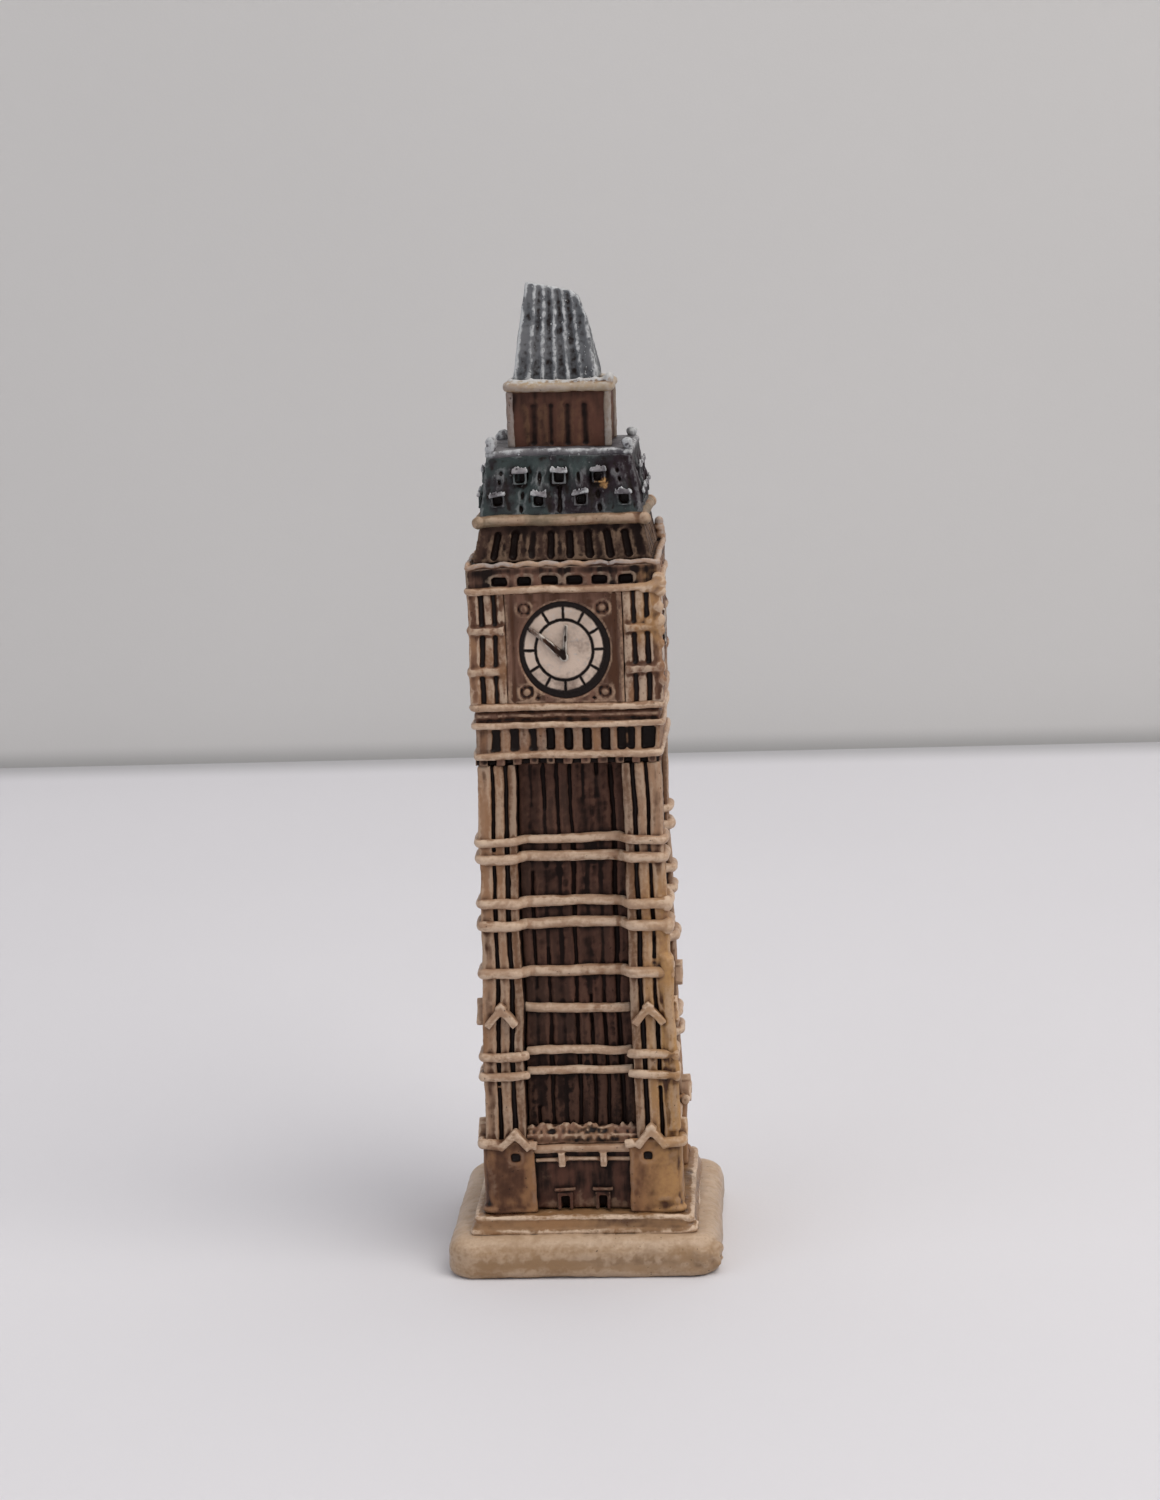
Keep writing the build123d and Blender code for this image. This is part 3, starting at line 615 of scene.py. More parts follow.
def dial_paint(name, middle):
    """Warm silver dial with its dark rim, inner ring and lines, on whichever side it is."""
    tint = bpy.context.scene.tower_colours
    sizes = bpy.context.scene.tower_sizes
    paint = Paint(name)
    x, y, z = [paint.axis(index) for index in range(3)]
    on_front = (y.math("ABSOLUTE") - x.math("ABSOLUTE")).math("GREATER_THAN", 0.0)
    across = x * on_front + y * (1 - on_front)
    up = (z - middle) * (sizes.dial_width / sizes.dial_height)
    patches = paint.noise(1.8 * MM, 3.0)
    grain = paint.noise(0.3 * MM, 3.0, shift=7.7)
    uneven = (grain - 0.5) * 0.12
    out = (across * across + up * up).math("SQRT")
    step = math.tau / sizes.dial_lines
    off_line = ((up.math("ARCTAN2", across) / step + 0.5).math("FRACT") - 0.5).math("ABSOLUTE") * step * out
    inner = sizes.ring_radius / MM
    rim = sizes.rim_radius / MM
    lines = (off_line + uneven).ramp(0.18, 0.07) * out.ramp(inner, inner + 0.05)
    circle = ((out - inner).math("ABSOLUTE") + uneven).ramp(0.19, 0.08)
    edge = (out + uneven - up * 0.03 + across * 0.02).ramp(rim - 0.12, rim + 0.04)
    # Brown blotches, more of them towards the lower right.
    brown_blotches_low_right = (patches * 0.8 + grain * 0.5 - up * 0.05 + across * 0.03).ramp(0.64, 1.0) * 0.55
    paint.shader.inputs["Specular IOR Level"].default_value = 0.2
    tone = paint.mix(patches.ramp(0.35, 0.7), tint.silver, [value * 0.8 for value in tint.silver])
    tone = paint.mix(grain.ramp(0.55, 0.75) * 0.4, tone, tint.frost)
    tone = paint.mix(brown_blotches_low_right, tone, tint.brown)
    dark = lines.math("MAXIMUM", circle).math("MAXIMUM", edge)
    tone = paint.mix(dark, tone, tint.umber)
    rough = 0.42 + (grain - 0.5) * 0.3
    return paint.finish(tone, rough, grain - dark, 0.05 * MM)


def mix_paints():
    """Every paint on the tower, by name."""
    tint = bpy.context.scene.tower_colours
    light, brown, umber = tint.cream_light, tint.brown, tint.umber
    return {
        # Plinth: with a painted highlight along the slab's upper front and top edge.
        "plinth": brushed(
            "plinth_paint", tint.plinth, (0.36, 0.24, 0.145), light, (0.15, 0.08, 0.038),
            wash_from=0.60, wash_to=0.85, edging=0.35, stain=0.7, gloss=0.36, streak=(7, 7, 1.4),
            sheen=0.4, top_highlight=(1.9, 3.7, 0.4),
        ),
        "step": brushed(
            "step_paint", (0.26, 0.135, 0.06), tint.plinth, light, brown,
            wash_from=0.58, wash_to=0.85, edging=0.9, stain=0.6, gloss=0.36, streak=(7, 7, 1),
            sheen=0.4,
        ),
        "course": brushed(
            "course_paint", tint.cream, tint.tan, light, brown,
            wash_from=0.57, wash_to=0.80, edging=0.75, ochre=0.6, stain=0.4, gloss=0.45,
            streak=(5, 5, 1),
        ),
        "pier": brushed(
            "pier_paint", tint.tan, tint.cream, light, brown,
            wash_from=0.54, wash_to=0.74, edging=0.35, ochre=1.0, stain=0.9, sheen=0.2, shade=0.6,
        ),
        "clock_pier": brushed(
            "clock_pier_paint", tint.tan, tint.rose, light, brown,
            wash_from=0.53, wash_to=0.74, edging=0.6, ochre=0.7, stain=0.9, streak=(1, 1, 3),
            sheen=0.2, shade=0.3,
        ),
        "ground": brushed(
            "ground_paint", (0.30, 0.155, 0.07), (0.17, 0.078, 0.042), tint.cream, brown,
            wash_from=0.56, wash_to=0.78, edging=0.35, ochre=0.8, stain=0.8, streak=(1.5, 1.5, 2.5),
            sheen=0.2,
        ),
        "ground_wall": brushed(
            "ground_wall_paint", tint.lantern, tint.recess, tint.cream, umber,
            wash_from=0.52, wash_to=0.7, edging=0.4, stain=0.9, sheen=0.1,
        ),
        # Recess: with painted shade low down.
        "recess": brushed(
            "recess_paint", tint.recess, tint.lantern, tint.rose, umber,
            wash_from=0.49, wash_to=0.63, edging=0.35, stain=0.9, sheen=0.08, low_painted_shade=0.75,
        ),
        "rose": brushed(
            "frame_paint", tint.rose, tint.recess, tint.cream, brown,
            wash_from=0.53, wash_to=0.66, edging=0.8, ochre=0.3, stain=0.6, sheen=0.15,
        ),
        "wall": brushed(
            "wall_paint", tint.rose, tint.recess, tint.cream, umber,
            wash_from=0.50, wash_to=0.66, edging=0.45, ochre=0.5, stain=0.8, sheen=0.12,
        ),
        "arcade": brushed(
            "arcade_paint", tint.tan, tint.rose, light, umber,
            wash_from=0.52, wash_to=0.66, edging=0.3, ochre=0.4, stain=0.9, sheen=0.15,
        ),
        "parapet": brushed(
            "parapet_paint", tint.rose, tint.recess, light, umber,
            wash_from=0.50, wash_to=0.64, edging=0.3, ochre=0.4, stain=0.9, sheen=0.12,
        ),
        "belfry": brushed(
            "belfry_paint", tint.recess, tint.umber, tint.cream, umber,
            wash_from=0.49, wash_to=0.62, edging=0.35, stain=0.9, sheen=0.08,
        ),
        "lantern": brushed(
            "lantern_paint", tint.lantern, tint.recess, tint.tan, umber,
            wash_from=0.53, wash_to=0.85, edging=0.25, stain=0.8, sheen=0.1,
        ),
        "post": brushed(
            "post_paint", (0.23, 0.18, 0.14), tint.rose, tint.frost, brown,
            wash_from=0.54, wash_to=0.72, edging=0.3, stain=0.9, sheen=0.15,
        ),
        "rail_cream": brushed(
            "rail_cream_paint", tint.cream, tint.tan, tint.frost, brown,
            wash_from=0.52, wash_to=0.70, edging=0.4, stain=0.8, streak=(5, 5, 1),
        ),
        # Cornice: with a painted highlight along its top.
        "cornice_with_highlight": brushed(
            "cornice_paint", (0.37, 0.285, 0.19), tint.plinth, tint.frost, brown,
            wash_from=0.55, wash_to=0.75, edging=0.3, stain=0.5, streak=(5, 5, 1),
            top_highlight=(76.36, 76.76, 0.8),
        ),
        "hand": brushed(
            "hand_paint", tint.brown, tint.umber, (0.6, 0.54, 0.48), umber,
            wash_from=0.48, wash_to=0.58, edging=1.0, stain=0.3, gloss=0.4, sheen=0.15,
        ),
        "slate": slated("slate_paint", tint.slate, (0.018, 0.010, 0.014), edging=0.2, fleck=True),
        "rail": slated("rail_paint", (0.125, 0.118, 0.125), (0.055, 0.05, 0.058), edging=0.8),
        "spire": slated("spire_paint", (0.138, 0.140, 0.148), (0.084, 0.089, 0.098), edging=1.0),
        "frieze": brushed(
            "frieze_paint", tint.rose, tint.tan, light, umber,
            wash_from=0.53, wash_to=0.70, edging=0.5, stain=0.6, sheen=0.15,
        ),
        "band": brushed(
            "band_paint", (0.182, 0.133, 0.084), tint.tan, light, brown,
            wash_from=0.56, wash_to=0.78, edging=0.4, stain=0.7, streak=(5, 5, 1),
        ),
        "frost": slated("dormer_paint", (0.28, 0.265, 0.275), (0.10, 0.09, 0.10), edging=0.9),
        "dial": dial_paint("dial_paint", sum(heights("dial_front")) / 2),
    }


PAINTS = {}


# ------------------------------------------------------------------ operators
class TOWER_OT_paints(bpy.types.Operator):
    """Mix every paint"""

    bl_idname = "tower.paints"
    bl_label = "Paints"

    def execute(self, context):
        PAINTS.update(mix_paints())
        return {"FINISHED"}


class TOWER_OT_plinth(bpy.types.Operator):
    """Rounded slab and the moulded step on it"""

    bl_idname = "tower.plinth"
    bl_label = "Plinth"

    def execute(self, context):
        foot, head, half = extent("plinth_slab")
        slab = pad(half, (foot, head))
        round_edges(slab, 2.5, upright)
        round_edges(slab, 1.5, lambda start, end: min(start.z, end.z) > head - 0.05)
        round_edges(slab, 0.7, lambda start, end: max(start.z, end.z) < foot + 0.05)
        parts = [slab]
        for _ in range(26):
            bearing = math.radians(dice.uniform(-80, -10))
            across = (half - 2.4) + 2.35 * math.cos(bearing)
            along = (half - 2.4) - 2.35 * math.sin(bearing)
            place = (across, -along, dice.uniform(foot + 0.8, head - 0.8))
            parts.append(ball(place, dice.uniform(0.2, 0.5), (1, 1, 0.7)))
        cast(parts, "plinth_slab", "plinth", voxel=0.24 * MM, soften=2, pitting=1.4, sway=0.7)

        foot, head = heights("plinth_step")
        low = reach("plinth_step")
        high = low - 0.4
        slope = pad(low, (foot, head - 0.1))
        rim = pad(high, (head - 0.5, head - 0.1))
        lip = pad(low, (foot, foot + 0.25))
        parts = [slope, rim, lip]
        for part in parts:
            round_edges(part, 1.0, upright)
        taper(slope, foot, head, (high - 0.1) / low)
        parts.append(rod(square(high - 0.15, head - 0.3), 0.25, True, 0.02))
        parts.append(rod(square(low - 0.22, foot + 0.2), 0.24, True, 0.03))
        for _ in range(22):
            along = dice.uniform(-0.4, 1.9)
            across = dice.uniform(-0.3, 0.9)
            place = (high - across, -high + along, head - dice.uniform(0.1, 1.3))
            parts.append(ball(place, dice.uniform(0.15, 0.36), (1, 1.2, 0.6)))
        hollow = high - 2.4
        void = pad(hollow, (foot + 0.6, head + 1))
        for part in (slope, rim):
            cut(part, [copy_turned(void, 0)])
        bpy.data.objects.remove(void)
        cast(parts, "plinth_step", "step", voxel=0.18 * MM, soften=2, pitting=1.2, sway=0.6)
        return {"FINISHED"}


class TOWER_OT_ground(bpy.types.Operator):
    """Ground storey: turrets with their hoods, entrance ledges, doorways and the rough frieze"""

    bl_idname = "tower.ground"
    bl_label = "Ground storey"
    turret_width = 4.55
    bay_offset = 1.6
    door_places = (-1.65, 1.65)

    def execute(self, context):
        foot, head = heights("ground_core")
        wall = reach("ground_core")
        face = reach("ground_turrets")
        inner = face - self.turret_width
        self.turrets(foot, head, wall, face, inner)
        self.hoods(head, inner + self.bay_offset)
        self.entrances(wall, inner)
        self.frieze(wall)
        return {"FINISHED"}

    def turrets(self, foot, head, wall, face, inner):
        """Corner turrets, each with a small square window on both outer faces, and the wall between."""
        bay = inner + self.bay_offset
        core = pad(wall, (foot, head))
        low, high = heights("doorways")
        doors = []
        for x in self.door_places:
            doors.append(strip(x, 0.4, (-wall - 1, -wall + 0.4), (low - 0.1, high - 0.7)))
        doors = all_round(doors)
        doors.append(pad(wall - 1.5, (foot - 1, head + 1)))
        cast(
            [cut(core, doors)], "ground_core", "ground_wall",
            voxel=0.24 * MM, soften=1, sunk=(wall, wall),
        )
        turret = block((inner, face), (-face, -inner), (foot - 0.1, head + 0.3))
        round_edges(
            turret, 1.1, lambda start, end: upright(start, end) and start.x > bay and start.y < -bay
        )
        window = (head - 1.6, head - 0.85)
        front = strip(bay, 0.42, (-face - 1, -face + 0.4), window)
        side = block((face - 0.4, face + 1), (-bay - 0.42, -bay + 0.42), window)
        cut(turret, [front, side])
        parts = [turret]
        parts.append(ball((face - 0.6, -face + 0.6, foot + 0.25), 0.8, (1.2, 1.2, 0.5)))
        low = foot + 0.1
        parts.append(rod([(inner + 0.1, -face + 0.2, low), (face - 0.8, -face + 0.15, low)], 0.26))
        parts.append(rod([(face - 0.15, -face + 0.8, low), (face - 0.2, -inner - 0.1, low)], 0.26))
        turrets = all_round(parts)
        turrets.append(ball((face - 1.6, -face + 0.1, foot + 1.2), 0.5, (1.9, 0.5, 0.7)))
        turrets.append(ball((face - 0.7, -face + 0.25, foot + 0.9), 0.5, (1.0, 0.7, 1.0)))
        cast(turrets, "ground_turrets", "ground", voxel=0.15 * MM, soften=3, sunk=(face, face))

    def hoods(self, head, bay):
        """Gable bands over the bays, joined by a level band round each corner."""
        out = reach("turret_hoods") - 0.45
        eave = head + 0.05
        parts = []
        for side in (-1, 1):
            rise = 1.45 + side * 0.15
            parts += gable(side * bay + (0.35 if side > 0 else -0.05), out, eave, 1.35, rise, 0.62)
            start = (side * (bay - 1.9), -out, eave - 0.2)
            end = (side * (bay - 1.2), -out, eave - 0.1)
            parts.append(rod([start, end], 0.42))
        path = [(bay + 1.2, -out, eave - 0.1), (out - 0.15, -out, eave)]
        path += [(out, -out + 0.15, eave), (out, -bay - 1.2, eave - 0.1)]
        parts.append(rod(path, 0.47))
        cast(all_round(parts), "turret_hoods", "course")

    def entrances(self, wall, inner):
        """Ledge, thin strip and two brackets over each entrance, and two framed doors."""
        low, high = heights("entrance_ledges")
        parts = []
        for lift, proud, radius in ((high - 0.38, 0.2, 0.38), (high - 1.4, 0.05, 0.2)):
            ends = [(-inner, -wall - proud, lift), (inner, -wall - proud, lift)]
            parts.append(rod(ends, radius, False, 0.02))
        for x in (-1.8, 1.8):
            parts.append(strip(x, 0.28, (-wall - 0.6, -wall + 0.3), (low + 0.15, high - 0.75)))
        cast(all_round(parts), "entrance_ledges", "course", voxel=0.1 * MM, soften=1, pitting=0.6)

        low, high = heights("doorways")
        parts = []
        for x in self.door_places:
            for edge in (-0.52, 0.52):
                jamb = (x + edge - 0.15, x + edge + 0.15)
                parts.append(block(jamb, (-wall - 0.26, -wall + 0.3), (low, high - 0.5)))
            parts.append(strip(x, 0.67, (-wall - 0.26, -wall + 0.3), (high - 0.72, high - 0.42)))
            parts.append(strip(x, 0.92, (-wall - 0.42, -wall + 0.3), (high - 0.2, high + 0.05)))
        cast(
            all_round(parts), "doorways", "ground_wall",
            voxel=0.1 * MM, soften=1, pitting=0.4, sunk=(wall + 0.35, wall + 0.35),
        )

    def frieze(self, wall):
        """Rough band of worn-down figures over the entrances."""
        low = heights("foot_frieze")[0]
        parts = [block((-4.8, 4.8), (-wall - 0.1, -6.6), (low - 0.2, low + 0.6))]
        parts.append(block((-4.8, 4.8), (-wall + 0.35, -6.6), (low - 0.2, low + 1.1)))
        for _ in range(150):
            rise = dice.uniform(0, 1)
            place = (dice.uniform(-4.7, 4.7), -wall + rise * 0.7, low + 0.25 + rise * 0.95)
            parts.append(ball(place, dice.uniform(0.15, 0.27), (1, 1, dice.uniform(0.9, 1.5))))
        cast(all_round(parts), "foot_frieze", "frieze", voxel=0.12 * MM, soften=0, pitting=1.2)


class TOWER_OT_shaft(bpy.types.Operator):
    """Corner piers, ribbed panels, string courses and gablets of the shaft"""

    bl_idname = "tower.shaft"
    bl_label = "Shaft"
    pier_width = 3.54
    foot_half = 8.35
    head_half = 7.8

    def execute(self, context):
        self.foot, self.head = heights("shaft_core")
        self.face = span("shaft_pier_front_right")[1].x
        self.inner = self.face - self.pier_width
        self.shrink = self.head_half / self.foot_half
        self.rib_face = reach("rib_panel_front")
        for name, angle in CORNERS.items():
            self.pier(name, angle)
        for name, angle in SIDES.items():
            self.panel(name, angle)
        for number in range(1, 8):
            self.course(number)
        self.gablets()
        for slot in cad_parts["shaft_core"].material_slots:
            slot.material = PAINTS["recess"]
        return {"FINISHED"}

    def scale(self, height):
        """How much the shaft has narrowed at a height."""
        share = (height - self.foot) / (self.head - self.foot)
        return 1 + share * (self.shrink - 1)

    def turned_and_tapered(self, parts, angle):
        """The parts drawn in towards the head and turned to their own side."""
        for part in parts:
            taper(part, self.foot, self.head, self.shrink)
        return turn(parts, angle)

    def pier(self, name, angle):
        """Corner post with two ribs on each face, cut apart by deep grooves."""
        face, up = self.face, (self.foot, self.head)
        backing = face - 0.52
        parts = [block((self.inner, backing), (-backing, -self.inner), up)]
        start = self.inner
        for width in (0.78, 0.76):
            for swap in (False, True):
                along = (start + dice.uniform(-0.05, 0.05), start + width + dice.uniform(-0.08, 0.08))
                out = (-face + dice.uniform(0.0, 0.12), -backing + 0.2)
                if swap:
                    parts.append(block((-out[1], -out[0]), (-along[1], -along[0]), up))
                else:
                    parts.append(block(along, out, up))
            start += width + 0.42
        parts.append(block((start, face), (-face, -start), up))
        if name == "front_right":
            for wander, radius in ((0.2, 0.62), (0.45, 0.5)):
                path = []
                height = self.foot + 0.9
                while height < 34:
                    path.append((face - 0.3 - dice.uniform(0, wander), -face + 0.3 + wander * 0.3, height))
                    height += 1.5
                parts.append(rod(path, radius, False, 0.12, 1.5))
            for _ in range(9):
                place = (face - dice.uniform(0.1, 1.0), -face + 0.2, dice.uniform(self.foot + 1, 33))
                parts.append(ball(place, dice.uniform(0.3, 0.5), (1, 0.6, 1.5)))
        turned = self.turned_and_tapered(parts, angle)
        cast(
            turned, f"shaft_pier_{name}", "pier",
            voxel=0.14 * MM, soften=1, sunk=(face, face * self.shrink),
        )

    def panel(self, name, angle):
        """Recessed panel of flat ribs of uneven width."""
        sizes = bpy.context.scene.tower_sizes
        back = self.rib_face - 1.1
        up = (self.foot, self.head)
        edge = self.inner + 0.1
        parts = [block((-edge, edge), (-back - 0.7, -back), up)]
        for index in range(8):
            centre = (index - 3.5) * 1.22 + dice.uniform(-0.07, 0.07)
            width = dice.uniform(0.78, 0.92)
            depth = self.rib_face - dice.uniform(-0.05, 0.09)
            parts.append(strip(centre, width / 2, (-depth, -back), up))
        turned = self.turned_and_tapered(parts, angle)
        sunk = (self.rib_face, self.rib_face * self.shrink)
        cast(
            turned, f"rib_panel_{name}", "recess",
            voxel=sizes.voxel, soften=1, pitting=1.3, sunk=sunk,
        )

    def course(self, number):
        """One rod round the shaft, bent in over each recess; the lowest two are broken at the bends."""
        node = f"string_course_{number}"
        low, high = heights(node)
        middle = (low + high) / 2
        radius = (high - low) / 2
        scale = self.scale(middle)
        proud = 0.42
        bite = 0.85
        out = self.face * scale + proud - radius * bite
        sunk = self.rib_face * scale + proud - radius * bite
        bend = self.inner * scale
        if number > 5:
            corner = [(bend - 0.35, -out + 0.5), (bend + 0.3, -out), (out - 0.15, -out)]
            corner += [(out, -out + 0.15), (out, -bend - 0.3), (out - 0.5, -bend + 0.35)]
            pier = [(x, y, middle) for x, y in corner]
            bar = [(-bend + 0.15, -sunk, middle + 0.1), (bend - 0.15, -sunk, middle + 0.1)]
            parts = all_round([rod(pier, radius), rod(bar, radius * 0.95)])
        else:
            path = [(-out + 0.3, -out), (-bend - 0.3, -out), (-bend + 0.6, -sunk)]
            path += [(-x, y) for x, y in reversed(path)]
            parts = [rod(path_round([(x, y, middle) for x, y in path]), radius, True)]
        if number > 2:
            parts.append(ball((out - 0.1, -out + 0.1, middle - 0.1), radius * 1.3, (0.9, 0.9, 1.2)))
        cast(parts, node, "course", soften=1, pitting=0.8)

    def gablets(self):
        """Bars across the recesses, and a small gable on each pier beside them."""
        low, high = heights("gablet_bars")
        middle = (low + high) / 2
        scale = self.scale(middle)
        reach_out = self.inner * scale
        depth = self.rib_face * scale
        bar = rod([(-reach_out, -depth, middle), (reach_out, -depth, middle)], 0.42, False, 0.03)
        cast(all_round([bar]), "gablet_bars", "course", soften=1, pitting=0.8)
        low, high = heights("gablets")
        scale = self.scale(low)
        depth = self.face * scale + 0.05
        eave = low + 0.5
        parts = []
        for side in (-1, 1):
            centre = (side * (self.inner + 1.7) - 0.2) * scale
            parts += gable(centre, depth, eave - 0.2, 1.3, 1.55, 0.62)
        cast(all_round(parts), "gablets", "course", soften=1, pitting=0.8)


def gable(centre, depth, eave, half, rise, thick):
    """Two straight bars that lean together to a sharp apex on the front face, in millimetres."""
    parts = []
    long = math.hypot(half, rise) + thick * 0.4
    for side in (-1, 1):
        bar = block(sorted((-side * thick, 0)), (-thick * 0.8, thick * 0.8), (-long, thick * 0.1))
        lean(bar, -side * math.atan2(half, rise))
        move(bar, (centre, -depth, eave + rise))
        parts.append(bar)
    return parts


def square_rod(node, wobble=0.03, thick=1.3):
    """Rod round the whole tower where the frame has a rod moulding, with a slab behind it."""
    foot, head = heights(node)
    radius = (head - foot) / 2
    line = reach(node) - radius
    slab = ring(line, thick, (foot + 0.03, head - 0.03))
    return [rod(square(line, (foot + head) / 2), radius, True, wobble)] + slab


def pierced(node, sides, depth, tall, paint, head_scale=1.0, soften=1, sway=1.0, voxel=0.155 * MM):
    """Square wall with a row of dark openings on each side, given as (centre, width, share of depth)."""
    foot, head, half = extent(node)
    wall = pad(half, (foot - 0.2, head + 0.2))
    hollow = half - 1.6
    tools = [pad(hollow, (foot - 1, head + 1))]
    for angle, row in sides.items():
        for x, width, share in row:
            tool = strip(x, width / 2, (-half - 1, -half + depth * share), (foot, foot + tall))
            tools += turn([tool], angle)
    cut(wall, tools)
    if head_scale < 1:
        taper(wall, foot, head, head_scale)
    cast(
        [wall], node, paint,
        voxel=voxel, soften=soften, sunk=(half, half * head_scale), sway=sway,
    )


def openings(count, pitch, width, shallow=()):
    """Evenly pitched openings of slightly uneven width, some of them filled up with paint."""
    row = []
    for index in range(count):
        x = (index - (count - 1) / 2) * pitch + dice.uniform(-0.06, 0.06)
        row.append((x, width * dice.uniform(0.9, 1.12), 0.55 if index in shallow else 1.0))
    return row


class TOWER_OT_gallery(bpy.types.Operator):
    """Dentils, rods and the open arcade under the clock stage"""

    bl_idname = "tower.gallery"
    bl_label = "Gallery"

    def execute(self, context):
        foot, head, half = extent("dentil_course")
        parts = ring(half - 0.6, 0.8, (foot, head))
        for x, width, _ in openings(11, 1.45, 0.75):
            tooth = strip(x, width / 2, (-half, -half + 1), (foot + 0.05, head + 0.1))
            parts += all_round([tooth])
        cast(parts, "dentil_course", "wall", soften=1, sunk=(half, half))
        cast(square_rod("gallery_rod"), "gallery_rod", "course")
        filled = {90: (4,), 180: (), 270: (8, 9)}
        rows = {angle: openings(10, 1.53, 0.78, skip) for angle, skip in filled.items()}
        rows[0] = openings(9, 1.53, 0.78, (0, 1, 2))[:-1] + [(5.35, 0.7, 1.0), (6.85, 1.25, 1.0)]
        pierced("gallery_arcade", rows, 0.6, 2.0, "arcade")
        cast(square_rod("gallery_cap"), "gallery_cap", "course")
        foot, head, half = extent("gallery_frieze")
        parts = ring(half - 0.15, 0.9, (foot - 0.2, head + 0.2))
        parts.append(rod(square(half - 0.2, (foot + head) / 2 + 0.1), 0.24, True, 0.03))
        cast(parts, "gallery_frieze", "rose", sunk=(half, half))
        cast(square_rod("clock_sill"), "clock_sill", "course")
        return {"FINISHED"}


